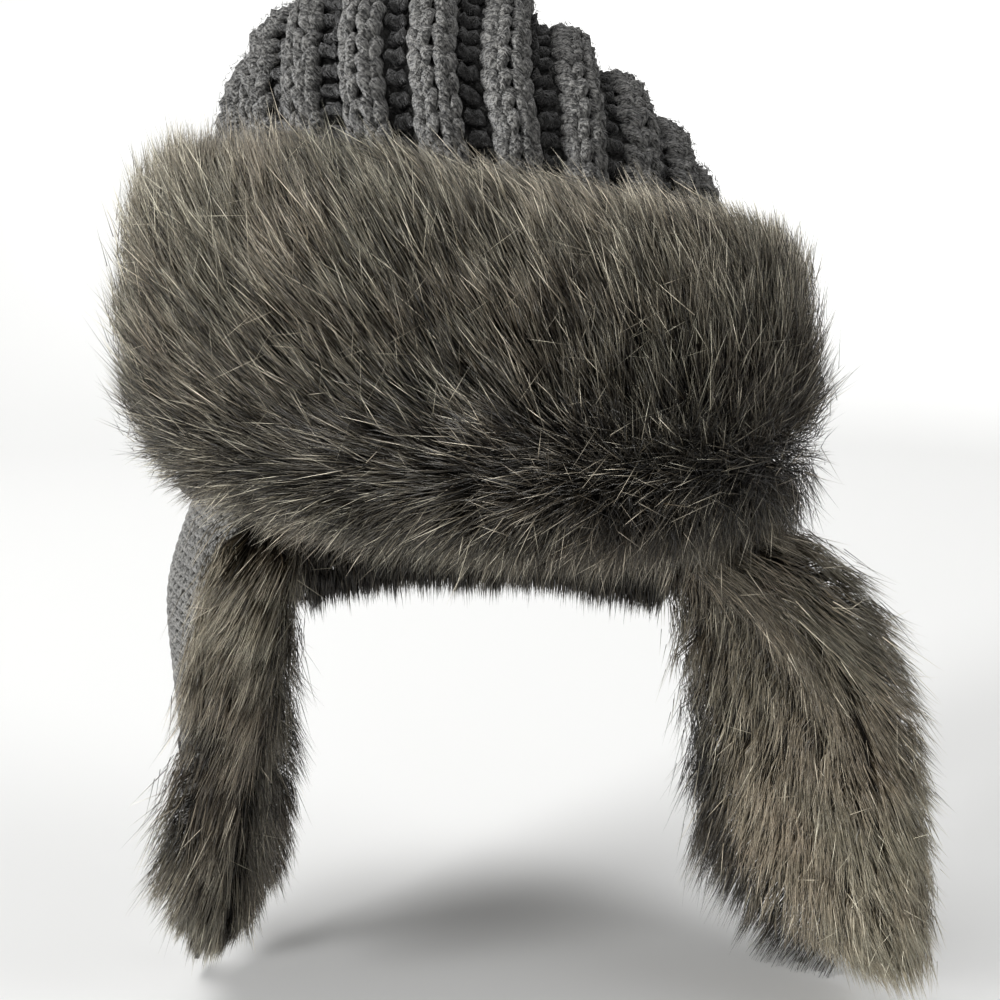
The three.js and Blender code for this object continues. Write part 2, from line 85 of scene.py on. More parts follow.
# One column of a table, at any values of its key column, on a smooth curve.
def readTable(rows, key, column, value):
    keys = np.array([row[key] for row in rows])
    levels = np.array([row[column] for row in rows])
    if keys[-1] < keys[0]:
        keys, levels = keys[::-1], levels[::-1]
    places = np.arange(len(keys))
    before, after = np.maximum(places - 1, 0), np.minimum(places + 1, len(keys) - 1)
    slopes = (levels[after] - levels[before]) / (keys[after] - keys[before])
    i = np.clip(np.searchsorted(keys, value, side="right") - 1, 0, len(keys) - 2)
    span = keys[i + 1] - keys[i]
    f = np.clip((value - keys[i]) / span, 0, 1)
    start = (2 * f**3 - 3 * f**2 + 1) * levels[i] + (f**3 - 2 * f**2 + f) * span * slopes[i]
    end = (3 * f**2 - 2 * f**3) * levels[i + 1] + (f**3 - f**2) * span * slopes[i + 1]
    return start + end


def readColumns(rows, key, columns, value):
    return [readTable(rows, key, column, value) for column in columns.split()]


def deselectAll():
    if bpy.context.object and bpy.context.object.mode != "OBJECT":
        bpy.ops.object.mode_set(mode="OBJECT")
    bpy.ops.object.select_all(action="DESELECT")


def selectOnly(piece):
    deselectAll()
    piece.select_set(True)
    bpy.context.view_layer.objects.active = piece


def pointsOf(piece):
    points = np.zeros(len(piece.data.vertices) * 3)
    piece.data.vertices.foreach_get("co", points)
    return points.reshape(-1, 3)


def setPoints(piece, points):
    piece.data.vertices.foreach_set("co", np.asarray(points, float).ravel())
    piece.data.update()


def recalcNormals(piece):
    selectOnly(piece)
    bpy.ops.object.mode_set(mode="EDIT")
    bpy.ops.mesh.select_all(action="SELECT")
    bpy.ops.mesh.normals_make_consistent(inside=False)
    bpy.ops.object.mode_set(mode="OBJECT")


def applyModifiers(piece):
    selectOnly(piece)
    for modifier in list(piece.modifiers):
        bpy.ops.object.modifier_apply(modifier=modifier.name)


def smoothFaces(piece):
    piece.data.polygons.foreach_set("use_smooth", np.ones(len(piece.data.polygons), bool))
    piece.data.update()


def addObject(name, data):
    added = bpy.data.objects.new(name, data)
    bpy.context.scene.collection.objects.link(added)
    return added


# Names a finished piece, gives it its material, smooth faces and its body, and hides the CAD parts that it
# stands for.
def settle(piece, name, slotName, material, *nodes):
    piece.name = name
    piece.data.name = name
    piece.data.materials.clear()
    piece.data.materials.append(material)
    smoothFaces(piece)
    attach(piece, "root")
    if nodes:
        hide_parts(*nodes)


# One mesh from arrays of points, triangles and the UV of each triangle's corners.
def joinedMesh(points, triangles, uv, uvName):
    mesh = bpy.data.meshes.new("piece")
    mesh.vertices.add(len(points))
    mesh.vertices.foreach_set("co", np.asarray(points, np.float32).ravel())
    mesh.loops.add(triangles.size)
    mesh.loops.foreach_set("vertex_index", np.asarray(triangles, np.int32).ravel())
    mesh.polygons.add(len(triangles))
    mesh.polygons.foreach_set("loop_start", np.arange(len(triangles), dtype=np.int32) * 3)
    layer = mesh.uv_layers.new(name=uvName)
    mesh.update(calc_edges=True)
    layer.data.foreach_set("uv", np.asarray(uv, np.float32).ravel())
    mesh.validate()
    return addObject("piece", mesh)


# Camera, at the photo's angle, and its light

cameraView = {
    "target": (0.012, 0, -0.01),
    "elevation": math.radians(13),
    "distance": 0.59,
    "frameWidth": 0.4,  # seen at the target
}


def setCamera():
    data = bpy.data.cameras.new("camera")
    data.angle = 2 * math.atan(cameraView["frameWidth"] / 2 / cameraView["distance"])
    data.clip_start = 0.01
    camera = addObject("camera", data)
    level, rise = math.cos(cameraView["elevation"]), math.sin(cameraView["elevation"])
    towards = Vector((0, level, -rise))
    camera.location = Vector(cameraView["target"]) - towards * cameraView["distance"]
    camera.rotation_euler = towards.to_track_quat("-Z", "Y").to_euler()
    bpy.context.scene.camera = camera


studio = {
    "floorBelow": 0.004,  # under the ear flaps' lowest fur
    "floorRadius": 1.2,
    "coveRadius": 2.6,
    "coveRise": 0.4,  # of the wall above its cove
    "coveSteps": 12,
    "paint": (0.84, 0.84, 0.83, 1),
    "sky": (1, 1, 1, 1),
    "skyStrength": 0.19,
}
# A sun's spread is in degrees and its strength in watts a square metre; an area lamp's spread
# is its side in metres and its strength in watts.
lamps = tableOf(
    "name kind at spread strength",
    ("window", "SUN", (-1.7, -1.05, 0.34), 22, 5.2),
    ("far_side", "SUN", (1.6, -0.5, 0.9), 30, 1.0),
    ("low_front", "SUN", (-0.35, -1.3, -0.05), 30, 0.7),
    ("overhead", "AREA", (-0.5, 0.4, 1.9), 1.2, 28),
    ("from_floor", "AREA", (0, 0, -0.24), 2.2, 8))


def setStudio():
    scene = bpy.context.scene
    scene.view_settings.view_transform = "Standard"
    world = bpy.data.worlds.new("studio")
    world.use_nodes = True
    sky = world.node_tree.nodes["Background"]
    sky.inputs["Color"].default_value = studio["sky"]
    sky.inputs["Strength"].default_value = studio["skyStrength"]
    scene.world = world
    for lamp in lamps:
        data = bpy.data.lights.new(lamp["name"], lamp["kind"])
        if lamp["kind"] == "SUN":
            data.angle = math.radians(lamp["spread"])
        else:
            data.size = lamp["spread"]
        data.energy = lamp["strength"]
        light = addObject(lamp["name"], data)
        light.location = lamp["at"]
        light.rotation_euler = (-Vector(lamp["at"])).to_track_quat("-Z", "Y").to_euler()
        light.visible_camera = False


# One smooth bowl from the top of the wall down its cove to the flat floor.
def makeStage():
    level = cadBox[0].z - studio["floorBelow"]
    curve = studio["coveRadius"] - studio["floorRadius"]
    radius, height = studio["coveRadius"], curve + studio["coveRise"]
    turns = np.linspace(math.pi / 2, 0, studio["coveSteps"] + 1)
    steps = [
        (studio["floorRadius"] + curve * math.sin(turn), curve * (1 - math.cos(turn))) for turn in turns]
    deselectAll()
    bpy.ops.mesh.primitive_circle_add(
        vertices=96, radius=radius, fill_type="NGON", location=(0, 0, level + height))
    floor = bpy.context.object
    bpy.ops.object.transform_apply(location=True, rotation=False, scale=False)
    bpy.ops.object.mode_set(mode="EDIT")
    bpy.ops.mesh.select_all(action="SELECT")
    for nextRadius, nextHeight in steps:
        bpy.ops.mesh.extrude_region_move(TRANSFORM_OT_translate={"value": (0, 0, nextHeight - height)})
        bpy.ops.transform.resize(
            value=(nextRadius / radius, nextRadius / radius, 1), center_override=(0, 0, 0))
        radius, height = nextRadius, nextHeight
    bpy.ops.mesh.inset(thickness=radius / 2)
    bpy.ops.mesh.select_all(action="SELECT")
    bpy.ops.mesh.normals_make_consistent(inside=True)
    bpy.ops.object.mode_set(mode="OBJECT")
    smoothFaces(floor)
    floor.name = "studio_floor"
    paint = bpy.data.materials.new("floor_paint")
    paint.use_nodes = True
    surface = paint.node_tree.nodes["Principled BSDF"]
    surface.inputs["Base Color"].default_value = studio["paint"]
    surface.inputs["Roughness"].default_value = 0.95
    floor.data.materials.append(paint)
    # The lamp below gives the floor's light back, so that the floor doesn't slow the light.
    floor.visible_diffuse = False
    floor.visible_shadow = False


setCamera()
setStudio()
makeStage()
print("stage: camera, light and floor")


# Node tools

def addNode(tree, kind, at, **settings):
    made = tree.nodes.new(kind)
    made.location = at
    for name, value in settings.items():
        setattr(made, name, value)
    return made


# Links a socket to another one, or sets a plain value on it.
def feed(tree, value, socket):
    if isinstance(value, bpy.types.NodeSocket):
        tree.links.new(value, socket)
    else:
        socket.default_value = value


def maths(tree, operation, at, *values):
    made = addNode(tree, "ShaderNodeMath", at, operation=operation)
    for value, socket in zip(values, made.inputs):
        feed(tree, value, socket)
    return made.outputs[0]


# The X, Y and Z parts of a vector.
def partsOf(tree, at, vector):
    made = addNode(tree, "ShaderNodeSeparateXYZ", at)
    feed(tree, vector, made.inputs[0])
    return made.outputs


def objectPlace(tree, at):
    return addNode(tree, "ShaderNodeTexCoord", at).outputs["Object"]


def uvPlace(tree, at, name):
    return addNode(tree, "ShaderNodeUVMap", at, uv_map=name).outputs["UV"]


def noise(tree, at, vector, scale, detail=2.0, roughness=0.6):
    made = addNode(tree, "ShaderNodeTexNoise", at)
    feed(tree, vector, made.inputs["Vector"])
    feed(tree, scale, made.inputs["Scale"])
    made.inputs["Detail"].default_value = detail
    made.inputs["Roughness"].default_value = roughness
    return made.outputs["Fac"]


def ramp(tree, at, factor, stops):
    made = addNode(tree, "ShaderNodeValToRGB", at)
    marks = made.color_ramp.elements
    while len(marks) < len(stops):
        marks.new(0.5)
    for mark, (position, colour) in zip(marks, stops):
        mark.position = position
        mark.color = (*colour, 1)
    feed(tree, factor, made.inputs["Fac"])
    return made.outputs["Color"]


def newMaterial(name, roughness, sheen=0.0, specular=0.5):
    material = bpy.data.materials.new(name)
    material.use_nodes = True
    surface = material.node_tree.nodes["Principled BSDF"]
    surface.inputs["Roughness"].default_value = roughness
    surface.inputs["Sheen Weight"].default_value = sheen
    surface.inputs["Specular IOR Level"].default_value = specular
    return material, material.node_tree, surface


def bumpFrom(tree, at, height, distance, surface):
    bump = addNode(tree, "ShaderNodeBump", at)
    bump.inputs["Distance"].default_value = distance
    feed(tree, height, bump.inputs["Height"])
    feed(tree, bump.outputs["Normal"], surface.inputs["Normal"])


# Wool group: the plies and loose fibres of a yarn, from its UV, and its blend of dark and
# light wool, from its place on the hat.
def woolGroup():
    tree = bpy.data.node_groups.new("heather_wool", "ShaderNodeTree")
    for label, value in (("Plies", 2.0), ("Twist", 2.0), ("Fibre Scale", 9.0), ("Blend Scale", 700.0)):
        socket = tree.interface.new_socket(name=label, in_out="INPUT", socket_type="NodeSocketFloat")
        socket.default_value = value
    for label in ("Shade", "Height"):
        tree.interface.new_socket(name=label, in_out="OUTPUT", socket_type="NodeSocketFloat")
    given = addNode(tree, "NodeGroupInput", (-1000, 0))
    result = addNode(tree, "NodeGroupOutput", (600, 0))
    parts = partsOf(tree, (-800, 300), uvPlace(tree, (-1000, 300), "yarn"))
    place = objectPlace(tree, (-1000, -300))
    around = maths(tree, "MULTIPLY", (-600, 300), parts["X"], given.outputs["Plies"])
    along = maths(tree, "MULTIPLY", (-600, 150), parts["Y"], given.outputs["Twist"])
    turns = maths(tree, "ADD", (-450, 250), around, along)
    radians = maths(tree, "MULTIPLY", (-300, 250), turns, 2 * math.pi)
    plies = maths(tree, "SINE", (-150, 250), radians)
    stretched = addNode(tree, "ShaderNodeCombineXYZ", (-300, 0))
    feed(tree, turns, stretched.inputs[0])
    feed(tree, maths(tree, "MULTIPLY", (-450, 0), parts["Y"], 0.5), stretched.inputs[1])
    fibres = noise(tree, (-150, 0), stretched.outputs[0], given.outputs["Fibre Scale"], 2)
    blend = noise(tree, (-150, -250), place, given.outputs["Blend Scale"], 1, 0.5)
    speckle = maths(tree, "ADD", (100, -150), fibres, blend)
    feed(tree, maths(tree, "MULTIPLY", (300, -150), speckle, 0.5), result.inputs["Shade"])
    raised = maths(tree, "MULTIPLY", (100, 150), plies, 0.25)
    feed(tree, maths(tree, "ADD", (300, 100), raised, speckle), result.inputs["Height"])
    return tree


wool = woolGroup()


def woolMaterial(name, dark, light, blendScale, bump):
    material, tree, surface = newMaterial(name, 0.95, 0.25, 0.15)
    group = addNode(tree, "ShaderNodeGroup", (-700, 0), node_tree=wool)
    group.inputs["Blend Scale"].default_value = blendScale
    middle = tuple(mix(a, b, 0.42) for a, b in zip(dark, light))
    colour = ramp(tree, (-400, 200), group.outputs["Shade"], [(0.41, dark), (0.5, middle), (0.6, light)])
    feed(tree, colour, surface.inputs["Base Color"])
    bumpFrom(tree, (-300, -200), group.outputs["Height"], bump, surface)
    return material


heatherWool = woolMaterial("heather_wool_yarn", (0.008, 0.008, 0.0075), (0.27, 0.265, 0.25), 760, 0.0035)
# A much darker copy of the heather wool for the purl bumps: painted shade for their recess.
purlShadeWool = woolMaterial("heather_wool_purl_shade", (0.001, 0.001, 0.001), (0.032, 0.031, 0.029), 760, 0.0035)
plainWool = woolMaterial("plain_wool_yarn", (0.04, 0.04, 0.038), (0.2, 0.196, 0.184), 1100, 0.0003)


# The knit's reverse side and the fabric behind the stitches, with rows and columns by place. It is kept much
# darker than the yarn: painted shade for the gaps between stitches.
def groundMaterial(name, dark, light, columnsRound, rowHeight):
    material, tree, surface = newMaterial(name, 0.95, 0.2, 0.1)
    place = objectPlace(tree, (-1200, 0))
    parts = partsOf(tree, (-1000, 0), place)
    angle = maths(tree, "ARCTAN2", (-800, 150), parts["Y"], parts["X"])
    columns = maths(tree, "SINE", (-500, 150), maths(tree, "MULTIPLY", (-650, 150), angle, columnsRound))
    up = maths(tree, "MULTIPLY", (-650, 0), parts["Z"], 2 * math.pi / rowHeight)
    rows = maths(tree, "SINE", (-500, 0), up)
    loops = maths(tree, "MULTIPLY", (-350, 100), columns, rows)
    fibres = noise(tree, (-500, -200), place, 700, 3, 0.7)
    lifted = maths(tree, "MULTIPLY", (-200, 100), loops, 0.35)
    height = maths(tree, "ADD", (-50, 0), lifted, fibres)
    shade = maths(tree, "MULTIPLY_ADD", (-50, 200), lifted, 0.35, fibres)
    feed(tree, ramp(tree, (150, 200), shade, [(0.3, dark), (0.7, light)]), surface.inputs["Base Color"])
    bumpFrom(tree, (150, -200), height, 0.0012, surface)
    return material


crownGroundShade = groundMaterial("rib_knit_reverse", (0.005, 0.005, 0.0045), (0.05, 0.049, 0.046), 84, 0.0085)
flapGroundShade = groundMaterial("plain_knit_reverse", (0.005, 0.005, 0.0045), (0.035, 0.034, 0.032), 130, 0.0042)


# Fur: each hair's UV holds its own tone, which also carries painted shade and painted light, and the place
# from its root to its tip.
def furMaterial(name, stops, roughness, tones):
    material, tree, surface = newMaterial(name, roughness, 0.0, 0.45)
    parts = partsOf(tree, (-700, 100), uvPlace(tree, (-900, 100), "hair"))
    patches = noise(tree, (-700, -200), objectPlace(tree, (-900, -200)), 22, 2)
    colour = ramp(tree, (-450, 200), parts["Y"], stops)
    tone = ramp(tree, (-450, -50), parts["X"], [(at, (level,) * 3) for at, level in tones])
    warmth = ramp(tree, (-450, -300), patches, [(0.36, (0.97, 1.0, 0.95)), (0.64, (1.02, 0.99, 0.94))])
    for factor, at in ((tone, (-150, 100)), (warmth, (50, 100))):
        blend = addNode(tree, "ShaderNodeMix", at, data_type="RGBA", blend_type="MULTIPLY")
        blend.inputs["Factor"].default_value = 1
        feed(tree, colour, blend.inputs["A"])
        feed(tree, factor, blend.inputs["B"])
        colour = blend.outputs["Result"]
    feed(tree, colour, surface.inputs["Base Color"])
    return material


# The colour runs from near black at the root to light at the tip: partly the fur's own dark roots, partly
# painted shade deep in the pile.
furHairs = furMaterial(
    "taupe_fur", [
        (0, (0.003, 0.002, 0.0012)), (0.45, (0.030, 0.023, 0.0145)),
        (0.8, (0.15, 0.130, 0.100)), (1, (0.45, 0.417, 0.35))],
    0.32, [(0, 0.08), (0.35, 0.55), (0.7, 1.4), (1, 2.4)])
woolFuzz = furMaterial(
    "wool_fuzz", [(0, (0.03, 0.03, 0.028)), (1, (0.26, 0.255, 0.245))], 0.8, [(0, 0.05), (1, 1.1)])


# The pelt under the hairs is near black like the hair roots: partly the fur's own dark base, partly painted
# shade deep in the pile.
def peltMaterial():
    material, tree, surface = newMaterial("fur_undercoat", 0.9, 0.0, 0.2)
    stretch = addNode(tree, "ShaderNodeMapping", (-700, 0))
    stretch.inputs["Scale"].default_value = (1, 1, 0.25)
    feed(tree, objectPlace(tree, (-900, 0)), stretch.inputs["Vector"])
    tufts = noise(tree, (-500, 0), stretch.outputs["Vector"], 900, 3, 0.7)
    colour = ramp(tree, (-250, 100), tufts, [(0.35, (0.003, 0.0025, 0.002)), (0.7, (0.018, 0.015, 0.011))])
    feed(tree, colour, surface.inputs["Base Color"])
    bumpFrom(tree, (-250, -200), tufts, 0.002, surface)
    return material


undercoat = peltMaterial()


def webbingMaterial():
    material, tree, surface = newMaterial("black_webbing", 0.75, 0.1, 0.3)
    parts = partsOf(tree, (-900, 0), uvPlace(tree, (-1100, 0), "UVMap"))
    warp = maths(tree, "SINE", (-500, 100), maths(tree, "MULTIPLY", (-700, 100), parts["X"], 75))
    weft = maths(tree, "SINE", (-500, -100), maths(tree, "MULTIPLY", (-700, -100), parts["Y"], 560))
    weave = maths(tree, "MULTIPLY", (-300, 0), warp, weft)
    share = maths(tree, "MULTIPLY_ADD", (-150, 0), weave, 0.5, 0.5)
    colour = ramp(tree, (50, 100), share, [(0.1, (0.006, 0.006, 0.008)), (0.95, (0.035, 0.035, 0.04))])
    feed(tree, colour, surface.inputs["Base Color"])
    bumpFrom(tree, (50, -200), weave, 0.0003, surface)
    return material


blackWebbing = webbingMaterial()
print("stage: materials")


# Crown shape

crown = {
    "profile": tableOf(
        "up z halfWidth halfDepth shift",
        (0, 0, 0.105, 0.089, 0),
        (0.18, 0.045, 0.103, 0.090, 0),
        (0.36, 0.090, 0.097, 0.087, -0.001),
        (0.5, 0.122, 0.086, 0.080, -0.005),
        (0.64, 0.150, 0.068, 0.066, -0.014),
        (0.77, 0.172, 0.046, 0.046, -0.020),
        (0.89, 0.187, 0.025, 0.026, -0.022),
        (1, 0.193, 0, 0, -0.022)),
    "ribs": 28,  # each is two knit columns and one sunken purl column
    "ribTurn": math.radians(4.4),
    "ribDepth": 0.004,
    "shoulderRibDepth": 0.006,
    "shoulderLevel": 0.146,
    "shoulderSpread": 0.045,
    "gatherBack": 0.36,
    "gatherAside": 0.1,
    "upright": 2.5,
    "groundBelow": 0.0016,  # the fabric behind the stitches, under the ribs' mean face
    "domeCentre": 0.09,  # faces that look away from it, or from the axis below it, are outside
    "rimEdge": 0.005,
    "rimBottom": -0.0014,  # over the flaps' top edges, so that no light shows between
}
ribAcross = [0, 0.2, 0.4, 0.6, 0.8, 1]
ribHeights = [-1, 0.5, 1, 1, 0.5, -1]


def domePoint(angle, up):
    half, depth, shift, level = readColumns(crown["profile"], "up", "halfWidth halfDepth shift z", up)
    return stack(shift + half * np.sin(angle), -depth * np.cos(angle), level)


# The face followed along a rib, from its angle at the rim to where the ribs gather.
def ribPoint(rimAngle, along):
    back = crown["gatherBack"] * smoothstep(along, 0.2, 1)
    aside = crown["gatherAside"] * smoothstep(along, 0.3, 0.8)
    across = (1 - along) * (1 + crown["upright"] * along**4) * np.sin(rimAngle) + aside
    ahead = (1 - along) * np.cos(rimAngle) - back
    return domePoint(np.arctan2(across, ahead), 1 - np.minimum(np.hypot(across, ahead), 1))


def normalsOf(place, a, b, level=False):
    tiny = 1e-3
    aWay = place(a + tiny, b) - place(a - tiny, b)
    bWay = place(a, np.minimum(b + tiny, 1)) - place(a, np.maximum(b - tiny, 0))
    outwards = np.cross(aWay, bWay)
    if level:
        outwards[..., 2] = 0
    return unit(outwards)


def ribDepthAt(z):
    shoulder = np.exp(-(((z - crown["shoulderLevel"]) / crown["shoulderSpread"]) ** 2))
    return mix(crown["ribDepth"], crown["shoulderRibDepth"], shoulder)


upShares = np.linspace(0, 1, 400)
upLevels = domePoint(0, upShares)[..., 2]


# A point at a distance outside the ribs' crests, at one level.
def besideCrown(angle, z, distance):
    angle, z, distance = np.broadcast_arrays(angle, z, distance)
    up = np.interp(np.maximum(z, 0), upLevels, upShares)
    away = normalsOf(domePoint, angle, up, level=True)
    points = domePoint(angle, up) + away * (ribDepthAt(z) + distance)[..., None]
    points[..., 2] = z
    return points


# Flap shapes

flapKnit = 0.005
seam = 0.0006
frontFlap = {
    "end": math.radians(77),
    "furEnd": math.radians(80.5),
    "sections": tableOf(
        "angle top bottom thick parting valley",
        (-80, 0.122, 0.006, 0.030, 0.2, 0),
        (-52, 0.126, 0.002, 0.038, 0.22, 0.001),
        (-20, 0.127, -0.005, 0.044, 0.24, 0.002),
        (12, 0.119, -0.009, 0.046, 0.27, 0.005),
        (45, 0.108, -0.013, 0.044, 0.3, 0.008),
        (66, 0.098, -0.015, 0.039, 0.32, 0.006),
        (80, 0.090, -0.015, 0.034, 0.32, 0.002)),
    "furAbove": 0.012,
    "rimGap": 0.0009,
    "thinner": 0.0008,
}


def frontSide(angle, column):
    return readTable(frontFlap["sections"], "angle", column, np.degrees(angle))


# Each row is a level of the flap: its middle, how wide it is, how far it bows outwards and how
# many degrees its front edge turns outwards.
leftEar = tableOf(
    "z x y chord bow turn",
    (-0.0006, -0.0808, -0.0012, 0.111, 0.024, 0),
    (-0.040, -0.094, -0.004, 0.107, 0.024, -5),
    (-0.075, -0.098, -0.008, 0.098, 0.019, -4),
    (-0.110, -0.101, -0.013, 0.086, 0.011, 2),
    (-0.142, -0.103, -0.018, 0.070, 0.007, 5),
    (-0.168, -0.104, -0.022, 0.048, 0.004, 6),
    (-0.182, -0.105, -0.024, 0.020, 0.002, 6))
rightEar = tableOf(
    "z x y chord bow turn",
    (-0.0006, 0.0808, -0.0012, 0.111, 0.024, 0),
    (-0.024, 0.106, -0.004, 0.109, 0.016, 16),
    (-0.062, 0.127, -0.008, 0.102, 0.009, 25),
    (-0.100, 0.136, -0.013, 0.091, 0.006, 30),
    (-0.138, 0.144, -0.019, 0.075, 0.004, 34),
    (-0.170, 0.152, -0.025, 0.052, 0.003, 35),
    (-0.186, 0.157, -0.028, 0.022, 0.002, 35))
ears = {
    "left": {"rows": leftEar, "outwards": -1},
    "right": {"rows": rightEar, "outwards": 1},
}
rimSeam = -0.0006
furRim = rimSeam - seam
neck = {
    "halfTurn": math.radians(52), "halfWidth": 0.105,
    "drop": 0.054, "dropAtEars": 0.068, "flare": 0.005, "back": 0.088,
}


def earHalf(ear, z):
    return readTable(ear["rows"], "z", "chord", z) / 2


# The place across (-1 back edge, 1 front edge) and through (outwards) of an ear flap.
def earPoint(ear, z, across, through):
    rows, outwards = ear["rows"], ear["outwards"]
    level = np.maximum(z, rows[-1]["z"])
    x, y, bow, turn = readColumns(rows, "z", "x y bow turn", level)
    turn, half = np.radians(turn), earHalf(ear, level)
    bulge = bow * np.maximum(1 - across**2, -0.6)
    frontX, frontY = np.sin(turn) * outwards, -np.cos(turn)
    outX, outY = np.cos(turn) * outwards, np.sin(turn)
    x = x + frontX * across * half + outX * (bulge + through)
    y = y + frontY * across * half + outY * (bulge + through)
    return stack(x, y, z)


# The place across (-1 left ear flap, 1 right ear flap) and through of the neck flap.
def neckPoint(z, across, through):
    level = np.minimum(z, rimSeam)
    left = earPoint(ears["left"], level, np.full_like(level, -1.0), 0)
    right = earPoint(ears["right"], level, np.full_like(level, -1.0), 0)
    middle, half = (left + right) / 2, (right - left) / 2
    back = neck["back"] + neck["flare"] * np.minimum(-level / neck["drop"], 1.3)
    cosEnd, sinEnd = math.cos(neck["halfTurn"]), math.sin(neck["halfTurn"])

    def place(angle):
        points = middle + half * (np.sin(angle) / sinEnd)[..., None]
        depth = (np.cos(angle) - cosEnd) / (1 - cosEnd)
        points[..., 1] += (back - middle[..., 1]) * depth
        points[..., 2] = z
        return points

    turn = across * neck["halfTurn"]
    along = unit(place(turn + 1e-3) - place(turn - 1e-3))
    away = stack(-along[..., 1], along[..., 0], 0)
    return place(turn) + away * np.asarray(through)[..., None]


def neckBottom(across):
    return -mix(neck["drop"], neck["dropAtEars"], across**4)


# Knit

# A closed tube pulled out ring by ring. Each step is a centre and two half widths.
def pulledTube(sides, steps):
    deselectAll()
    bpy.ops.mesh.primitive_circle_add(vertices=sides, radius=1, fill_type="NGON")
    tube = bpy.context.object
    bpy.ops.object.mode_set(mode="EDIT")
    bpy.ops.mesh.select_all(action="SELECT")
    x, y, z, wide, thick = steps[0]
    bpy.ops.transform.resize(value=(wide, thick, 1), center_override=(0, 0, 0))
    bpy.ops.transform.translate(value=(x, y, z))
    for nextX, nextY, nextZ, nextWide, nextThick in steps[1:]:
        bpy.ops.mesh.extrude_region_move(
            TRANSFORM_OT_translate={"value": (nextX - x, nextY - y, nextZ - z)})
        bpy.ops.transform.resize(
            value=(nextWide / wide, nextThick / thick, 1), center_override=(nextX, nextY, nextZ))
        x, y, z, wide, thick = nextX, nextY, nextZ, nextWide, nextThick
    bpy.ops.mesh.select_all(action="SELECT")
    bpy.ops.mesh.normals_make_consistent(inside=False)
    bpy.ops.mesh.quads_convert_to_tris()
    bpy.ops.object.mode_set(mode="OBJECT")
    points = pointsOf(tube)
    triangles = np.array([list(face.vertices) for face in tube.data.polygons])
    levels = [step[2] for step in steps]
    aside = np.arctan2(
        points[:, 1] - np.interp(points[:, 2], levels, [step[1] for step in steps]),
        points[:, 0] - np.interp(points[:, 2], levels, [step[0] for step in steps]))
    around = (aside / (2 * math.pi))[triangles]
    around += (around.max(axis=1, keepdims=True) - around > 0.5)
    along = ((points[:, 2] - levels[0]) / (levels[-1] - levels[0]))[triangles]
    bpy.data.objects.remove(tube)
    return {"points": points, "triangles": triangles, "uv": np.stack([around, along], axis=-1)}


def mirrored(shape):
    return {
        "points": shape["points"] * np.array([-1, 1, 1]),
        "triangles": shape["triangles"][:, ::-1],
        "uv": shape["uv"][:, ::-1] * np.array([-1, 1]),
    }


def laidAcross(shape):
    points = shape["points"][:, [2, 1, 0]]
    return {"points": points, "triangles": shape["triangles"][:, ::-1], "uv": shape["uv"][:, ::-1]}


# Copies of one shape, each laid on a face by lay(across, up, out, copy) in metres.
def copiesOn(shape, count, lay):
    across, out, up = (np.tile(shape["points"][:, k], (count, 1)) for k in range(3))
    points = lay(across, up, -out, np.arange(count)[:, None])
    step = len(shape["points"])
    triangles = shape["triangles"][None] + np.arange(count)[:, None, None] * step
    uv = np.tile(shape["uv"], (count, 1, 1, 1)) + chance.random((count, 1, 1, 2)) * 7
    return points.reshape(-1, 3), triangles.reshape(-1, 3), uv.reshape(-1, 2)


def joinCopies(parts):
    points, triangles, uv, first = [], [], [], 0
    for partPoints, partTriangles, partUv in parts:
        points.append(partPoints)
        triangles.append(partTriangles + first)
        uv.append(partUv)
        first += len(partPoints)
    return np.concatenate(points), np.concatenate(triangles), np.concatenate(uv)


def arcLengths(points):
    steps = np.linalg.norm(np.diff(points, axis=0), axis=1)
    return np.concatenate([[0], np.cumsum(steps)])


# Crown stitches: knit leaves in pairs on the ribs, and purl bumps in between
crownStitch = {
    "rowHeight": 0.0085,
    "ribPitch": 0.0218,
    "columns": [0.335, 0.665],  # centres of the two knit columns, across one rib
    "gatherEnd": 0.93,
    "leaf": [
        (0.0005, 0.0006, -0.0022, 0.0014, 0.0012),
        (0.0009, -0.0004, 0.0008, 0.0020, 0.0019),
        (0.0017, -0.0009, 0.0042, 0.0021, 0.0021),
        (0.0023, -0.0002, 0.0078, 0.0018, 0.0019),
        (0.0025, 0.0014, 0.0108, 0.0011, 0.0011),
    ],
    "bump": [
        (-0.0008, 0.0022, -0.0034, 0.0013, 0.0012),
        (0.0006, -0.0004, -0.0020, 0.0026, 0.0024),
        (0.0014, -0.0014, 0.0, 0.0031, 0.0028),
        (0.0006, -0.0004, 0.0020, 0.0026, 0.0024),
        (-0.0008, 0.0022, 0.0034, 0.0013, 0.0012),
    ],
    "leafSink": 0.0012,
    "purlRise": 0.0006,
    # How far a stitch strays across its rib (a share), outwards, on the slant (a share) and up.
    "strays": (0.012, 0.0003, 0.12, 0.0005),
    "unevenness": 0.0005,
    "underFur": 0.032,  # stitches this far below the front flap's top can't be seen
}


def hiddenByFront(points, below):
    angle = np.arctan2(points[..., 0], -points[..., 1])
    top = frontSide(angle, "top")
    return (np.abs(angle) < math.radians(70)) & (points[..., 2] < top - below)


# Where each row of each rib lies: the rib, the place along it and the step to the next row.
def crownRows():
    along = np.linspace(0, crownStitch["gatherEnd"], 300)
    found = []
    for rib in range(crown["ribs"]):
        middle = crown["ribTurn"] + (rib + 0.5) * 2 * math.pi / crown["ribs"]
        lengths = arcLengths(ribPoint(np.full_like(along, middle), along))
        rows = round(lengths[-1] / crownStitch["rowHeight"])
        marks = np.interp(np.linspace(0, lengths[-1], rows + 1), lengths, along)
        for row in range(rows):
            found.append((rib, marks[row], marks[row + 1] - marks[row]))
    return np.array(found)


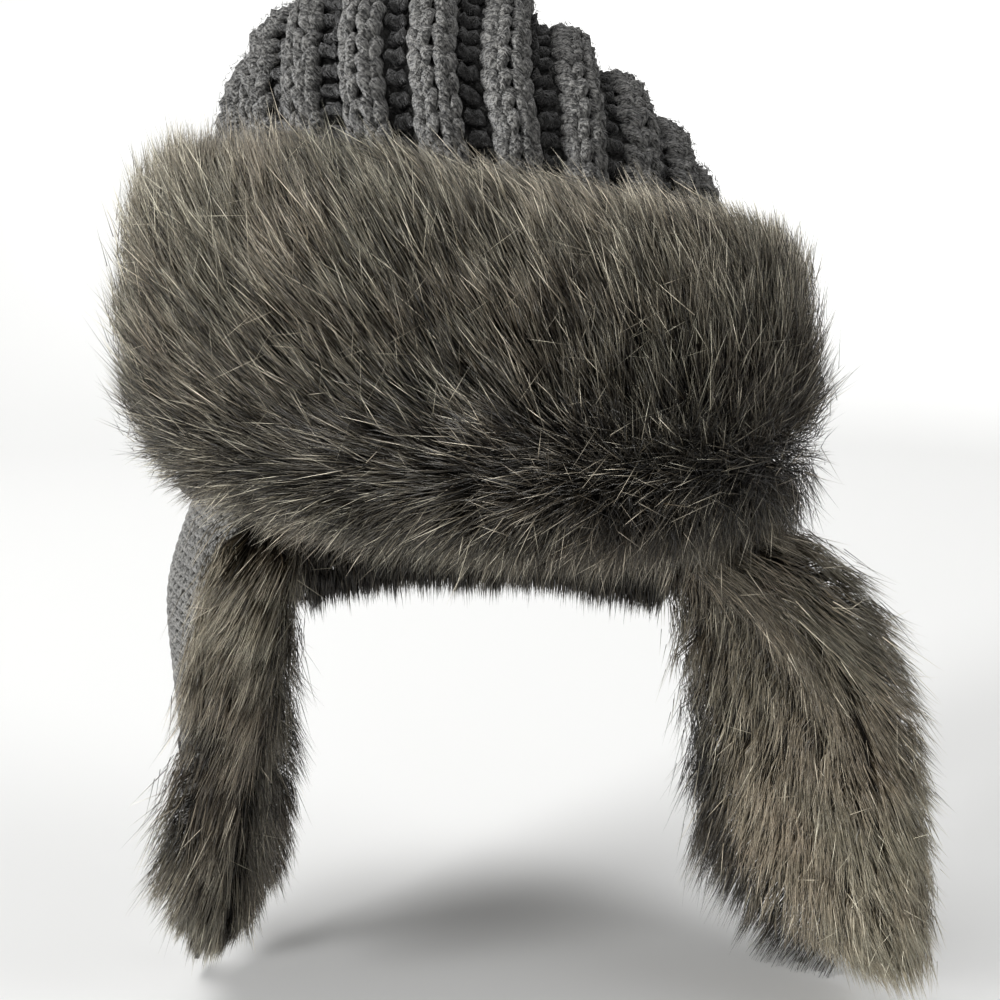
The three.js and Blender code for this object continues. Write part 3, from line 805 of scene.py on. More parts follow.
def crownStitches():
    rows = crownRows()
    turn = 2 * math.pi / crown["ribs"]
    middles = ribPoint(crown["ribTurn"] + (rows[:, 0] + 0.5) * turn, rows[:, 1])
    rows = rows[~hiddenByFront(middles, crownStitch["underFur"])]
    leaf = pulledTube(6, crownStitch["leaf"])
    bump = laidAcross(pulledTube(6, crownStitch["bump"]))
    strays = chance.normal(0, 1, (len(rows), 4)) * crownStitch["strays"]

    def layIn(column, sinks):
        def lay(across, up, out, copy):
            rib, start, step = (rows[copy, k] for k in range(3))
            share = column + across / crownStitch["ribPitch"] + strays[copy, 0]
            up = up + across * strays[copy, 2] + strays[copy, 3]
            angle = crown["ribTurn"] + (rib + share) * turn
            along = np.clip(start + up / crownStitch["rowHeight"] * step, 0, 0.985)
            face = ribPoint(angle, along)
            away = normalsOf(ribPoint, angle, along)
            ribAcrossHere = ribPoint(angle + turn / 2, along) - ribPoint(angle - turn / 2, along)
            spread = np.linalg.norm(ribAcrossHere, axis=-1)
            size = np.clip(spread / crownStitch["ribPitch"], 0.5, 1)
            relief = np.interp(share % 1, ribAcross, ribHeights) * ribDepthAt(face[..., 2])
            fade = smoothstep(1 - along, -0.1, 0.15)
            lump = chance.normal(0, crownStitch["unevenness"], across.shape)
            height = relief * fade + out * size - sinks + strays[copy, 1] + lump
            return face + away * height[..., None]
        return lay

    for number, column in enumerate(crownStitch["columns"]):
        lay = layIn(column, crownStitch["leafSink"])
        leaves = joinCopies([copiesOn(shape, len(rows), lay) for shape in (leaf, mirrored(leaf))])
        stitches = joinedMesh(*leaves, "yarn")
        settle(stitches, f"crown_stitches_{number + 1}", "heather_knit", heatherWool, "crown")
    # The purl bumps take the darker wool copy, painted shade in the purl columns.
    purls = joinedMesh(*copiesOn(bump, len(rows), layIn(0, -crownStitch["purlRise"])), "yarn")
    settle(purls, "crown_purls", "heather_knit", purlShadeWool, "crown")


# The fabric behind the stitches: the crown's own solid, a little sunk, with its inner side.
def crownGroundPiece():
    piece = addObject("crown_ground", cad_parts["crown"].data.copy())
    selectOnly(piece)
    bpy.ops.object.mode_set(mode="EDIT")
    bpy.ops.mesh.select_all(action="SELECT")
    bpy.ops.mesh.remove_doubles(threshold=1e-5)
    bpy.ops.mesh.select_all(action="DESELECT")
    bpy.ops.mesh.select_mode(type="VERT")
    bpy.ops.object.mode_set(mode="OBJECT")
    for vertex in piece.data.vertices:
        away = Vector((vertex.co.x, vertex.co.y, max(vertex.co.z - crown["domeCentre"], 0)))
        vertex.select = vertex.normal.dot(away) > 0 and vertex.co.z > 0.001
    bpy.ops.object.mode_set(mode="EDIT")
    bpy.ops.transform.shrink_fatten(value=-crown["groundBelow"])
    bpy.ops.object.mode_set(mode="OBJECT")
    smooth = piece.modifiers.new("round", "SUBSURF")
    smooth.levels = smooth.render_levels = 1
    applyModifiers(piece)
    points = pointsOf(piece)
    rim = points[:, 2] < crown["rimEdge"]
    points[rim, 2] += (crown["rimBottom"] - points[:, 2].min()) * (1 - points[rim, 2] / crown["rimEdge"])
    setPoints(piece, points)
    settle(piece, "crown_ground", "heather_knit", crownGroundShade, "crown")


# Many closed three-sided hairs. Each runs through its places, the last of which is its tip.
def hairMesh(name, places, shares, wide, tone, material, slotName, *nodes):
    count, rings = len(tone), len(places) - 1
    points = np.zeros((count, rings * 3 + 1, 3))
    points[:, -1] = places[-1]
    aside = unit(np.cross(places[1] - places[0], chance.normal(0, 1, (count, 3))))
    shape = [(0, 2, 1)]
    for ring in range(rings):
        way = unit(places[ring + 1] - places[ring])
        aside = unit(aside - way * np.sum(aside * way, axis=-1, keepdims=True))
        across = np.cross(way, aside)
        reach = wide[:, None] * (0.5 - 0.08 * ring)
        for k in range(3):
            turn = 2 * math.pi * k / 3
            aroundHair = aside * math.cos(turn) + across * math.sin(turn)
            points[:, ring * 3 + k] = places[ring] + aroundHair * reach
            here, after = ring * 3 + k, ring * 3 + (k + 1) % 3
            if ring + 1 < rings:
                shape += [(here, after, after + 3), (here, after + 3, here + 3)]
            else:
                shape.append((here, after, rings * 3))
    shape = np.array(shape)
    triangles = shape[None] + np.arange(count)[:, None, None] * (rings * 3 + 1)
    along = np.append(np.repeat(shares[:-1], 3), shares[-1])[shape]
    uv = np.stack([
        np.broadcast_to(tone[:, None, None], (count, *along.shape)),
        np.broadcast_to(along[None], (count, *along.shape))], axis=-1)
    piece = joinedMesh(points.reshape(-1, 3), triangles.reshape(-1, 3), uv.reshape(-1, 2), "hair")
    settle(piece, name, slotName, material, *nodes)


crownFuzz = {
    "fibres": 22000, "length": 0.0028, "width": 0.00022, "outOfYarn": 0.0018, "underFur": 0.025,
    "purlBulge": 0.003, "purlWidth": 0.13,  # metres outwards, and a share of a rib's width
    # The fuzz over the purl columns is darkened by this share: painted shade for the recess.
    "purlPaintedShade": 0.833, "end": 0.92, "thinning": 0.8,  # towards the crown's top
}


def makeCrownFuzz():
    count = crownFuzz["fibres"]
    angle = chance.uniform(0, 2 * math.pi, count * 2)
    along = chance.uniform(0, crownFuzz["end"], count * 2)
    keep = ~hiddenByFront(ribPoint(angle, along), crownFuzz["underFur"])
    keep &= chance.random(count * 2) < 1 - along * crownFuzz["thinning"]
    angle, along = angle[keep][:count], along[keep][:count]
    count = len(angle)
    share = ((angle - crown["ribTurn"]) / (2 * math.pi) * crown["ribs"]) % 1
    face = ribPoint(angle, along)
    away = normalsOf(ribPoint, angle, along)
    relief = np.interp(share, ribAcross, ribHeights) * ribDepthAt(face[:, 2])
    purl = np.exp(-((np.minimum(share, 1 - share) / crownFuzz["purlWidth"]) ** 2))
    roots = face + away * (relief + purl * crownFuzz["purlBulge"] + crownFuzz["outOfYarn"])[:, None]
    loose = chance.normal(0, 1, (count, 3))
    loose = unit(loose - away * np.sum(loose * away, axis=-1, keepdims=True))
    length = crownFuzz["length"] * chance.uniform(0.4, 1.5, count)[:, None]
    tips = roots + length * unit(away * chance.uniform(0.1, 0.75, (count, 1)) + loose)
    wide = np.full(count, crownFuzz["width"])
    # Random tone, darker over the purl columns as painted shade.
    tone = chance.random(count) ** 1.3 * (1 - purl * crownFuzz["purlPaintedShade"])
    hairMesh("crown_fuzz", [roots, tips], [0, 1], wide, tone, woolFuzz, "heather_knit", "crown")


crownGroundPiece()
crownStitches()
makeCrownFuzz()
print("stage: crown")


# Knit flaps

flapStitch = {
    "columnWidth": 0.0052,
    "rowHeight": 0.0043,
    "leaf": [
        (0.0006, 0.0009, -0.0004, 0.0006, 0.0006),
        (0.0012, -0.0004, 0.0022, 0.00115, 0.0012),
        (0.0018, -0.0002, 0.0040, 0.0010, 0.0011),
        (0.0022, 0.0010, 0.0056, 0.0005, 0.0005),
    ],
    "edge": 0.0024,  # left bare at an ear flap's sides
    "sunk": 0.0014,
    "clothSunk": 0.0008,  # the fabric behind the stitches
    "clothThinner": 0.0026,
}
stitchedFace = flapKnit / 2 - flapStitch["sunk"]


# A flat grid laid on a curved face and then given its thickness.
def formedSheet(acrossSteps, alongSteps, place, thickness):
    deselectAll()
    bpy.ops.mesh.primitive_grid_add(x_subdivisions=acrossSteps, y_subdivisions=alongSteps, size=2)
    piece = bpy.context.object
    flat = pointsOf(piece)
    setPoints(piece, place(flat[:, 0], (1 - flat[:, 1]) / 2))
    wall = piece.modifiers.new("thickness", "SOLIDIFY")
    wall.thickness = thickness
    wall.offset = 0
    applyModifiers(piece)
    recalcNormals(piece)
    return piece


# Finds the steps of a knit piece's form across and along, and does nothing more with them.
def declareCloth(place):
    across, along = np.meshgrid(np.linspace(-1, 1, 61), np.linspace(0, 1, 61))
    points = place(across, along)
    acrossWay, alongWay = np.diff(points, axis=1), np.diff(points, axis=0)


def earLevel(ear, along):
    return mix(ear["rows"][0]["z"], ear["rows"][-1]["z"], np.sin(along * math.pi / 2) ** 0.9)


# A hung flap of fabric with stitches on its outer face, each copied to its spot by lay.
def stitchedFlap(name, steps, place, spots, lay, shapes):
    sheet = formedSheet(*steps, place, flapKnit - flapStitch["clothThinner"])
    settle(sheet, f"{name}_knit", "plain_knit", flapGroundShade, name)
    stitches = joinedMesh(*joinCopies([copiesOn(shape, len(spots), lay) for shape in shapes]), "yarn")
    settle(stitches, f"{name}_stitches", "plain_knit", plainWool, name)
    recalcNormals(stitches)
    declareCloth(place)


def earFlap(side):
    ear = ears[side]

    def place(across, along):
        return earPoint(ear, earLevel(ear, along), across, -flapStitch["clothSunk"])

    levels = np.linspace(ear["rows"][0]["z"], ear["rows"][-1]["z"] + 0.001, 300)
    lengths = arcLengths(earPoint(ear, levels, np.zeros(300), 0))
    spots = []
    for row in range(int(lengths[-1] / flapStitch["rowHeight"])):
        level = np.interp((row + 0.5) * flapStitch["rowHeight"], lengths, levels)
        half = float(earHalf(ear, level)) - flapStitch["edge"]
        columns = int(half / flapStitch["columnWidth"])
        for column in range(-columns, columns + 1):
            spots.append((column * flapStitch["columnWidth"], row * flapStitch["rowHeight"]))
    spots = np.array(spots)

    def lay(across, up, out, copy):
        z = np.interp(spots[copy, 1] + flapStitch["rowHeight"] - up, lengths, levels)
        return earPoint(ear, z, (spots[copy, 0] + across) / earHalf(ear, z), stitchedFace + out)

    leaf = pulledTube(4, flapStitch["leaf"])
    shapes = (leaf, mirrored(leaf))
    if ear["outwards"] < 0:
        shapes = shapes[::-1]
    stitchedFlap(f"ear_flap_{side}", (24, 40), place, spots, lay, shapes)


def neckFlap():
    def place(across, along):
        z = mix(rimSeam, neckBottom(across), along)
        return neckPoint(z, across, np.full_like(across, -flapStitch["clothSunk"]))

    columns = int(neck["halfWidth"] / flapStitch["columnWidth"])
    spots = []
    for column in range(-columns, columns + 1):
        aside = column * flapStitch["columnWidth"]
        rows = int((-neckBottom(aside / neck["halfWidth"]) - 0.001) / flapStitch["rowHeight"])
        for row in range(rows):
            spots.append((aside, row * flapStitch["rowHeight"]))
    spots = np.array(spots)

    def lay(across, up, out, copy):
        z = rimSeam - (spots[copy, 1] + flapStitch["rowHeight"] - up)
        return neckPoint(z, (spots[copy, 0] + across) / neck["halfWidth"], stitchedFace + out)

    leaf = pulledTube(4, flapStitch["leaf"])
    stitchedFlap("neck_flap", (40, 14), place, spots, lay, (leaf, mirrored(leaf)))


def frontFlapKnit():
    def place(across, along):
        angle = across * frontFlap["end"]
        top = frontSide(angle, "top") - frontFlap["furAbove"]
        return besideCrown(angle, mix(top, 0.001, along), frontFlap["rimGap"] + flapKnit / 2)

    sheet = formedSheet(60, 16, place, flapKnit - frontFlap["thinner"])
    settle(sheet, "front_flap_knit", "plain_knit", flapGroundShade, "front_flap")
    declareCloth(place)


tabWebbing = {"top": -0.104, "belowFlap": 0.015, "halfWidth": 0.0075, "thick": 0.0017, "endWidth": 0.8}


def webbingTab(side):
    ear = ears[side]
    rows = ear["rows"]

    def place(across, along):
        z = mix(tabWebbing["top"], rows[-1]["z"] - tabWebbing["belowFlap"], along)
        level = np.maximum(z, rows[-2]["z"])
        half = tabWebbing["halfWidth"] * np.where(along > 0.96, tabWebbing["endWidth"], 1)
        points = earPoint(ear, level, across * half / earHalf(ear, level), flapKnit / 2 + tabWebbing["thick"])
        points[..., 2] = z
        return points

    tab = formedSheet(6, 30, place, tabWebbing["thick"])
    settle(tab, f"webbing_tab_{side}", "webbing", blackWebbing, f"tab_{side}")


for side in ears:
    earFlap(side)
    webbingTab(side)
neckFlap()
frontFlapKnit()
print("stage: knit flaps")


# Fur

# A ball pulled into a pelt's form: skin(along, turn) has along from 0 to 1 and turn in radians.
def shapedPelt(node, segments, rings, skin):
    deselectAll()
    bpy.ops.mesh.primitive_uv_sphere_add(segments=segments, ring_count=rings, radius=1)
    piece = bpy.context.object
    ball = pointsOf(piece)
    along = np.arccos(np.clip(ball[:, 2], -1, 1)) / math.pi
    setPoints(piece, skin(along, np.arctan2(ball[:, 1], ball[:, 0])))
    recalcNormals(piece)
    settle(piece, f"{node}_pelt", "faux_fur", undercoat, node)


def skinNormals(skin, along, turn):
    tiny = 2e-3
    alongWay = skin(np.minimum(along + tiny, 1), turn) - skin(np.maximum(along - tiny, 0), turn)
    turnWay = skin(along, turn + tiny) - skin(along, turn - tiny)
    away = np.cross(alongWay, turnWay)
    middle = sum(skin(along, np.full_like(turn, k * math.pi / 4)) for k in range(8)) / 8
    inside = np.sum(away * (skin(along, turn) - middle), axis=-1) < 0
    if inside.mean() > 0.5:
        away = -away
    return unit(away), np.linalg.norm(away, axis=-1)


def halfHair(length, angle, away, way):
    return length[:, None] * 0.5 * (away * np.sin(angle)[:, None] + way * np.cos(angle)[:, None])


def tangentTo(normals, ways):
    return unit(ways - normals * np.sum(ways * normals, axis=-1, keepdims=True))


# The nearest of some centres for each point, in steps that keep the tables small.
def nearestOf(points, centres):
    nearest = np.zeros(len(points), int)
    for first in range(0, len(points), 4000):
        gaps = points[first:first + 4000, None] - centres[None]
        nearest[first:first + 4000] = np.argmin(np.einsum("ijk,ijk->ij", gaps, gaps), axis=1)
    return nearest


# Rooted places on a skin, spread evenly over its area where keep allows.
def spotsOn(skin, keep, count):
    along, turn = chance.uniform(0, 1, count * 6), chance.uniform(-math.pi, math.pi, count * 6)
    away, area = skinNormals(skin, along, turn)
    spots = {"root": skin(along, turn), "away": away, "along": along, "turn": turn}
    weight = np.minimum(area, np.percentile(area, 98)) * keep(spots)
    chosen = chance.choice(len(area), count, replace=False, p=weight / weight.sum())
    return {part: values[chosen] for part, values in spots.items()}


def outwardFrom(roots):
    return unit(roots * np.array([1, 1, 0]))


# The kinds of hair: how much each strays from the nap, how much its length varies, how far its
# tip is drawn to its tuft's, and how much longer and wider it is.
hairKinds = tableOf(
    "name loose uneven drawn longer wider",
    ("coat", 0.1, 0.13, 1, 1, 1),
    ("fine", 0.1, 0.2, 0.7, 1, 1),
    ("strays", 1.0, 0.1, 0, 1, 1),
    ("guard", 0.2, 0.15, 0.2, 1.12, 1.25))
# Each lock and tuft has its own mood, which changes its hairs' swing, length, lift, lay and tone.
furMood = {"tuftsInLock": 7, "length": 0.13, "degrees": 8, "tone": 0.1, "lockPull": 0.35}
# What all the fur shares: degrees of lift and lay, hairs that point down out of the skin, the
# shares by which a hair's places follow its tuft, and the tones from dark (0) to light (1), with
# some fine hairs brightened and the strays and glint hairs near white as painted highlights.
furLook = {
    "lengths": (0.45, 1.6),
    "liftSpread": 7, "lifts": (12, 85), "hangingLift": 82,
    "laySpread": 9, "lays": (-15, 60), "hangingLay": 72,
    "tipsApart": 0.3, "midsApart": 0.7, "midsPull": 0.6,
    "tone": 0.36, "toneSpread": 0.19, "fineGlints": 0.15,
    "glintTone": 0.8, "glintSpread": 0.15, "glintShadeShare": 0.6,
}


# A coat of bent hairs drawn into locks and tufts, finer straight hairs over it, strays that
# cross the nap and long glint hairs. Strays and glint hairs are near white over their outer part,
# partly painted highlight for glints of light.
def growFur(name, fur, skin, nap, keep, pieces, paintedLight=0.0):
    numbers = [fur[kind["name"]] for kind in hairKinds]
    count = sum(numbers)
    spots = spotsOn(skin, keep, count)
    roots, away = spots["root"], spots["away"]
    kind = np.repeat(range(len(hairKinds)), numbers)
    loose, uneven, drawn, longer, wider = (
        np.array([row[column] for row in hairKinds])[kind]
        for column in ("loose", "uneven", "drawn", "longer", "wider"))
    groups = []
    mood = 0
    for many, strength in (
            (fur["locks"], fur["lockMood"]), (fur["locks"] * furMood["tuftsInLock"], fur["tuftMood"])):
        groups.append(nearestOf(roots, roots[:many]))
        mood = mood + chance.normal(0, 1, (many, 5))[groups[-1]] * strength
    locks, tufts = groups
    # depth is the nap's painted shade, negative where it is painted light; it is taken off the hairs' tone
    # below.
    way, size, depth = nap(spots)
    hanging = smoothstep(np.sum(away * unit(way), axis=-1), 0.6, 1) * (away[:, 2] < 0)
    way = tangentTo(away, way)
    side = np.cross(away, way)
    swing = np.radians(fur["swing"]) * mood[:, 0] * (kind != 2) + chance.normal(0, loose)
    way = way * np.cos(swing)[:, None] + side * np.sin(swing)[:, None]
    vary = np.clip(1 + furMood["length"] * mood[:, 1] + chance.normal(0, uneven), *furLook["lengths"])
    length = fur["length"] * size * longer * vary
    # Hairs start at their lift from the skin and end at their lay along it.
    lift = fur["lift"] + furMood["degrees"] * mood[:, 2] + chance.normal(0, furLook["liftSpread"], count)
    lay = fur["lay"] + furMood["degrees"] * mood[:, 3] + chance.normal(0, furLook["laySpread"], count)
    lift = mix(np.clip(lift, *furLook["lifts"]), furLook["hangingLift"], hanging)
    lay = mix(np.clip(lay, *furLook["lays"]), furLook["hangingLay"], hanging)
    mids = roots + halfHair(length, np.radians(lift), away, way)
    tips = mids + halfHair(length, np.radians(lay), away, way)
    tips[:, 2] -= length * fur["droop"]
    # Tips draw together towards their tuft's tip and their lock's.
    for leader, amount in ((tufts, fur["clump"]), (locks, fur["clump"] * furMood["lockPull"])):
        pull = (drawn * amount * chance.uniform(0.4, 1, count))[:, None]
        apart = roots - roots[leader]
        tips = mix(tips, tips[leader] + apart * furLook["tipsApart"], pull)
        mids = mix(mids, mids[leader] + apart * furLook["midsApart"], pull * furLook["midsPull"])
    toneMood = furMood["tone"] * mood[:, 4]
    tone = furLook["tone"] + toneMood + chance.normal(0, furLook["toneSpread"], count) - depth
    tone = tone + (kind == 1) * chance.exponential(furLook["fineGlints"], count)
    # Strays and glint hairs get a near-white tone, painted highlight for glints, dimmed by the nap's painted
    # shade.
    glintTone = furLook["glintTone"] - depth * furLook["glintShadeShare"]
    glintTone = np.clip(glintTone + chance.normal(0, furLook["glintSpread"], count), 0.3, 1)
    tone = np.where(kind >= 2, glintTone, np.clip(tone, 0, 1))
    wide = chance.uniform(0.7, 1.2, count) * wider
    order = np.argsort(np.arctan2(roots[:fur["coat"], 0], -roots[:fur["coat"], 1]))
    # A flap's hairs can start partway up the colour ramp: painted light that makes them lighter all along.
    for number, members in enumerate(np.array_split(order, pieces)):
        hairMesh(
            f"{name}_coat_{number + 1}", [roots[members], mids[members], tips[members]],
            [paintedLight, mix(paintedLight, 1, 0.5), 1], wide[members] * fur["coatWidth"],
            tone[members], furHairs, "faux_fur", name)
    # The finer hairs show from partway up, where they leave the coat.
    starts = mix(mids, roots, chance.uniform(-0.2, 0.35, count)[:, None])
    for ending, members, shares in (
            ("fine", kind == 1, [mix(paintedLight, 1, 0.4), 1]), ("guard", kind >= 2, [0.82, 1])):
        hairMesh(
            f"{name}_{ending}", [starts[members], tips[members]], shares,
            wide[members] * fur["fineWidth"], tone[members], furHairs, "faux_fur", name)


# Front band of fur
bandFur = {
    "coat": 13500, "fine": 33500, "strays": 1000, "guard": 2600, "length": 0.030,
    "coatWidth": 0.00045, "fineWidth": 0.00027, "lift": 46, "lay": 12,
    "locks": 480, "swing": 9, "clump": 0.24, "droop": 0,
    "lockMood": 0.5, "tuftMood": 0.42,
    "inset": 0.014, "endInset": 0.006, "topInset": 0.014, "bottomInset": 0.018,
    "besideKnit": 0.0072, "underBrim": -0.004,  # the pelt's inner side, over and under the rim
}
# The nap's sideways share, to the right, above and below the parting.
bandNap = tableOf(
    "angle above below",
    (-80, -0.85, -0.8),
    (-52, -0.55, -0.6),
    (-20, -0.5, -0.35),
    (12, -0.5, -0.15),
    (45, -0.42, 0.0),
    (62, -0.25, 0.4),
    (72, 0.4, 0.9),
    (80, 1.3, 1.3))


def bandUpShare(angle, z):
    top, bottom = frontSide(angle, "top"), frontSide(angle, "bottom")
    return (z - bottom) / (top - bottom)


def bandSkin(along, turn):
    share = along * 2 - 1
    angle = share * (frontFlap["furEnd"] - math.radians(5))
    fullness = np.sqrt(np.clip(1 - np.abs(share) ** 9, 0, 1))
    top, bottom = frontSide(angle, "top"), frontSide(angle, "bottom")
    middle = (top + bottom + bandFur["bottomInset"] - bandFur["topInset"]) / 2
    half = (top - bottom) / 2 * mix(0.8, 1, fullness) - (bandFur["topInset"] + bandFur["bottomInset"]) / 2
    z = middle + half * np.minimum(fullness * 1.5, 1) * power(np.sin(turn), 0.75)
    beside = smoothstep(np.abs(angle), math.radians(38), math.radians(50))
    under = smoothstep(-z, 0.0005, 0.003)
    besideKnit = bandFur["besideKnit"]
    inner = mix(besideKnit, mix(bandFur["underBrim"], besideKnit, beside), under)
    upShare = bandUpShare(angle, z)
    valley = frontSide(angle, "valley") * np.exp(-(((upShare - frontSide(angle, "parting")) / 0.12) ** 2))
    valley = valley * (1 - smoothstep(angle, 0.9, 1.2))
    endInset = bandFur["endInset"] * smoothstep(np.abs(angle), math.radians(42), math.radians(70))
    endInset = endInset * (1 + 0.8 * smoothstep(angle, 0.8, 1.2) * smoothstep(upShare, 0.3, 0.7))
    reach = (frontSide(angle, "thick") - bandFur["inset"] - endInset) * fullness - valley
    front = np.maximum(np.cos(turn), 0) ** 0.6
    return besideCrown(angle, z, inner + np.maximum(reach - inner, 0.002) * front)


def bandKeep(spots):
    away = spots["away"]
    facing = np.sum(away * outwardFrom(spots["root"]), axis=-1)
    ends = np.abs(spots["along"] * 2 - 1) > 0.95
    return smoothstep(facing + 0.35 * (np.abs(away[:, 2]) > 0.5) + 0.6 * ends, -0.1, 0.25)


# The nap is messy along the parting, where it carries painted shade, short in the fringe at the
# bottom, where it carries painted light, short at the top edge, with painted light at the upper left
# corner and painted shade across the middle. Pairs are for the left and the right side, or the
# shares of the band's height between which a zone ends.
bandZones = {
    "partingWidth": 0.17, "partingMess": (0.1, 0.45), "partingPaintedShade": (0.2, 0.32),
    "fringe": (0.02, 0.2), "fringeShorter": 0.4, "fringePaintedLight": (0.62, 0.52),
    "topEdge": (0.72, 0.95), "topShorter": (0.12, 0.38),
    "cornerPaintedLight": 0.28, "middlePaintedShade": 0.1,
}


# The way the hairs lie, how long they are and their painted shade (depth, negative where it is painted
# light), all round the parting.
def bandNapAt(spots):
    roots = spots["root"]
    angle = np.arctan2(roots[:, 0], -roots[:, 1])
    upShare = bandUpShare(angle, roots[:, 2])
    rightSide = smoothstep(angle, -0.1, 0.6)
    fromParting = upShare - frontSide(angle, "parting") + chance.normal(0, 0.03, len(angle))
    upwards = np.tanh(fromParting / mix(0.2, 0.12, rightSide))
    above, below = readColumns(bandNap, "angle", "above below", np.degrees(angle))
    sideways = mix(below, above, (upwards + 1) / 2)
    right = stack(np.cos(angle), np.sin(angle), 0)
    parted = np.exp(-((fromParting / bandZones["partingWidth"]) ** 2))
    mess = parted * mix(*bandZones["partingMess"], rightSide)
    way = right * (sideways + chance.normal(0, 1, len(angle)) * mess)[:, None]
    way = way + stack(0, 0, upwards + chance.normal(0, 1, len(angle)) * mess)
    size = mix(0.78, 1, np.maximum(smoothstep(fromParting, -0.1, 0.15), smoothstep(angle, 0.9, 1.2)))
    fringe = 1 - smoothstep(upShare, *bandZones["fringe"])
    size = size * (1 - bandZones["fringeShorter"] * fringe)
    topShorter = mix(*bandZones["topShorter"], smoothstep(angle, -0.4, 0.3))
    size = size * (1 - smoothstep(upShare, *bandZones["topEdge"]) * topShorter)
    corner = smoothstep(-angle, 0.1, 1.0) * smoothstep(upShare, 0.45, 0.95)
    # Painted shade along the parting and across the middle, painted light in the fringe and at the upper left
    # corner.
    depth = parted * mix(*bandZones["partingPaintedShade"], rightSide)
    depth = depth - mix(*bandZones["fringePaintedLight"], rightSide) * fringe - bandZones["cornerPaintedLight"] * corner
    depth = depth + bandZones["middlePaintedShade"] * np.exp(-((angle / 0.5) ** 2)) * (1 - fringe)
    return way, size, depth


shapedPelt("front_fur", 48, 96, bandSkin)
growFur("front_fur", bandFur, bandSkin, bandNapAt, bandKeep, 2)
print("stage: front fur")


# Ear flap fur
earFur = {
    "coat": 5800, "fine": 14000, "strays": 220, "guard": 420, "length": 0.028,
    "coatWidth": 0.0005, "fineWidth": 0.0003, "lift": 46, "lay": 8,
    "locks": 170, "swing": 10, "clump": 0.36, "droop": 0.1,
    # The right flap's hairs start partway up the colour ramp, so they are lighter all along: painted light.
    "lockMood": 0.65, "tuftMood": 0.5, "paintedLight": {"left": 0.0, "right": 0.19},
    "frontLean": {"left": 0.0, "right": 0.3},
    "pile": 0.014, "edge": 0.008, "lip": 0.006, "lipDensity": 3.2,
}
# How far the front edge's hairs turn outwards, down each ear flap, and the pile's painted shade (dark;
# negative values are painted light, as at the left flap's top and low on the right flap).
earFlare = {
    "left": tableOf(
        "z front back size dark",
        (0, 0.9, 0.3, 1, -0.3),
        (-0.05, 0.6, 0.3, 1, -0.1),
        (-0.1, 0.3, 0.3, 0.95, 0.06),
        (-0.13, 0.5, 0.3, 0.9, 0.04),
        (-0.165, 0.1, 0.3, 0.5, -0.05),
        (-0.182, 0, 0.2, 0.2, -0.05)),
    "right": tableOf(
        "z front back size dark",
        (0, 2.3, 0.5, 1, 0.04),
        (-0.06, 1.1, 0.2, 1, -0.12),
        (-0.12, 0.2, -0.2, 1, -0.5),
        (-0.165, 0.05, -0.4, 1, -0.5),
        (-0.186, 0, -0.4, 0.7, -0.4)),
}


def earSkin(ear):
    def skin(along, turn):
        z = mix(furRim, ear["rows"][-1]["z"], along)
        knitHalf = earHalf(ear, z)
        half = np.maximum(knitHalf, 0.014) + earFur["edge"]
        closing = np.sqrt(np.clip(np.minimum(along / 0.02, (1 - along) / 0.1), 0, 1))
        aside = power(np.cos(turn), 0.8) * half * closing
        beyond = np.clip((np.abs(aside) - knitHalf - 0.0025) / (half - knitHalf - 0.0025), 0, 1)
        depth = np.where(np.sin(turn) > 0, 0, earFur["pile"]) * np.abs(np.sin(turn)) ** 0.7
        through = earFur["lip"] * beyond - depth * np.maximum(closing, 0.3)
        return earPoint(ear, z, aside / knitHalf, through - (flapKnit / 2 + seam + 0.0003))

    return skin


def earNapAt(side):
    ear = ears[side]

    def nap(spots):
        z, across = spots["root"][:, 2], np.cos(spots["turn"])
        frontTurn = np.radians(readTable(ear["rows"], "z", "turn", z))
        frontWay = stack(np.sin(frontTurn) * ear["outwards"], -np.cos(frontTurn), 0)
        outWay = stack(np.cos(frontTurn) * ear["outwards"], np.sin(frontTurn), 0)
        front, back, size, dark = readColumns(earFlare[side], "z", "front back size dark", z)
        flare = np.where(across > 0, front, back) * smoothstep(np.abs(across), 0.1, 0.95)
        lean = across * (0.45 + earFur["frontLean"][side] * smoothstep(across, 0.3, 0.75))
        way = stack(0, 0, -1.0) + frontWay * lean[:, None] + outWay * flare[:, None]
        if side == "left":
            # Short at the back edge, with a painted shadow line beside the front edge.
            size = size * np.where(across < -0.7, 0.75, 1)
            shadow = 0.16 * np.exp(-(((across - 0.5) / 0.25) ** 2))
        else:
            # Long at the back edge low down, with painted shade there, long at the front edge's top, and
            # painted light beside the front edge.
            size = size * mix(0.75, 1.15, smoothstep(-z, 0.05, 0.12) * smoothstep(-across, 0.3, 0.8))
            size = size * (1 + 0.4 * smoothstep(across, 0.4, 0.8) * (1 - smoothstep(-z, 0.02, 0.07)))
            shadow = (1 - smoothstep(across, -0.85, -0.1)) * smoothstep(-z, 0.06, 0.12)
            shadow = shadow - 0.12 * smoothstep(across, 0.4, 0.7)
        return way, size, dark + shadow
    return nap


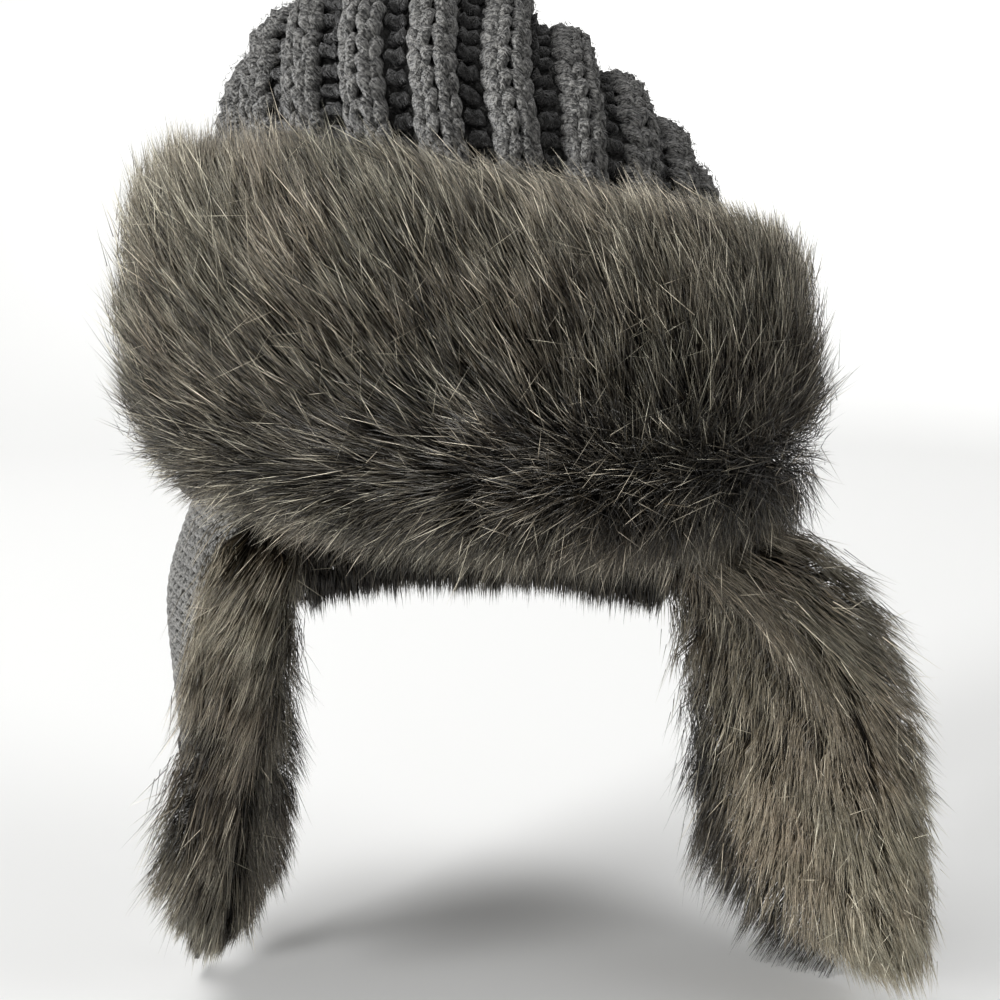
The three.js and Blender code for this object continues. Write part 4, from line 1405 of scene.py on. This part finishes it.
# Hairs grow on the inner side and the lips, more of them low down, by the front lip and at its top.
def earKeep(spots):
    along, across = spots["along"], np.cos(spots["turn"])
    lip = np.abs(across) > 0.86
    inner = (np.sin(spots["turn"]) < 0.1) | lip
    low = mix(1, 2, smoothstep(along, 0.5, 0.75))
    front = 1 + 0.8 * smoothstep(across, 0.45, 0.65) * (1 - smoothstep(across, 0.93, 0.99))
    frontTop = 1 + 1.5 * smoothstep(across, 0.7, 0.85) * (1 - smoothstep(along, 0.15, 0.35))
    thick = np.where(lip, earFur["lipDensity"], 1) * low * front * frontTop
    return inner * smoothstep(along, 0.0, 0.03) * thick


for side, ear in ears.items():
    name = f"ear_fur_{side}"
    shapedPelt(name, 40, 48, earSkin(ear))
    growFur(name, earFur, earSkin(ear), earNapAt(side), earKeep, 1, earFur["paintedLight"][side])
print("stage: ear flap fur")


# Neck flap fur
neckFur = {
    "coat": 3000, "fine": 8500, "strays": 0, "guard": 100, "length": 0.0155,
    "coatWidth": 0.0008, "fineWidth": 0.0006, "lift": 44, "lay": 8,
    "locks": 80, "swing": 8, "clump": 0.15, "droop": 0.12,
    "lockMood": 0.4, "tuftMood": 0.4,
    # The neck fur's tone is darkened throughout: painted shade for the inside of the hat.
    "pile": 0.009, "ends": 0.88, "dark": 0.36, "leanIn": 0.15,
}


def neckSkin(along, turn):
    across = (along * 2 - 1) * neckFur["ends"]
    closing = np.sqrt(np.clip(1 - np.abs(along * 2 - 1) ** 12, 0, 1))
    bottom = neckBottom(across) - 0.001
    z = (furRim + bottom) / 2 + (furRim - bottom) / 2 * np.maximum(closing, 0.02) * power(np.sin(turn), 0.6)
    depth = neckFur["pile"] * np.maximum(-np.cos(turn), 0) ** 0.6 * closing
    return neckPoint(z, across, -depth - (flapKnit / 2 + seam + 0.0003))


def neckKeep(spots):
    inner = (np.cos(spots["turn"]) < 0.1) * (spots["root"][:, 2] < -0.006)
    return inner * mix(1, 6, smoothstep(-np.sin(spots["turn"]), 0.7, 1))


# The neck fur hangs down, leaning in, with an even painted shade.
def neckNapAt(spots):
    way = stack(0, 0, -1.0) - outwardFrom(spots["root"]) * neckFur["leanIn"]
    return way, np.ones(len(way)), np.full(len(way), neckFur["dark"])


shapedPelt("neck_fur", 32, 60, neckSkin)
growFur("neck_fur", neckFur, neckSkin, neckNapAt, neckKeep, 1)
print("stage: neck flap fur")
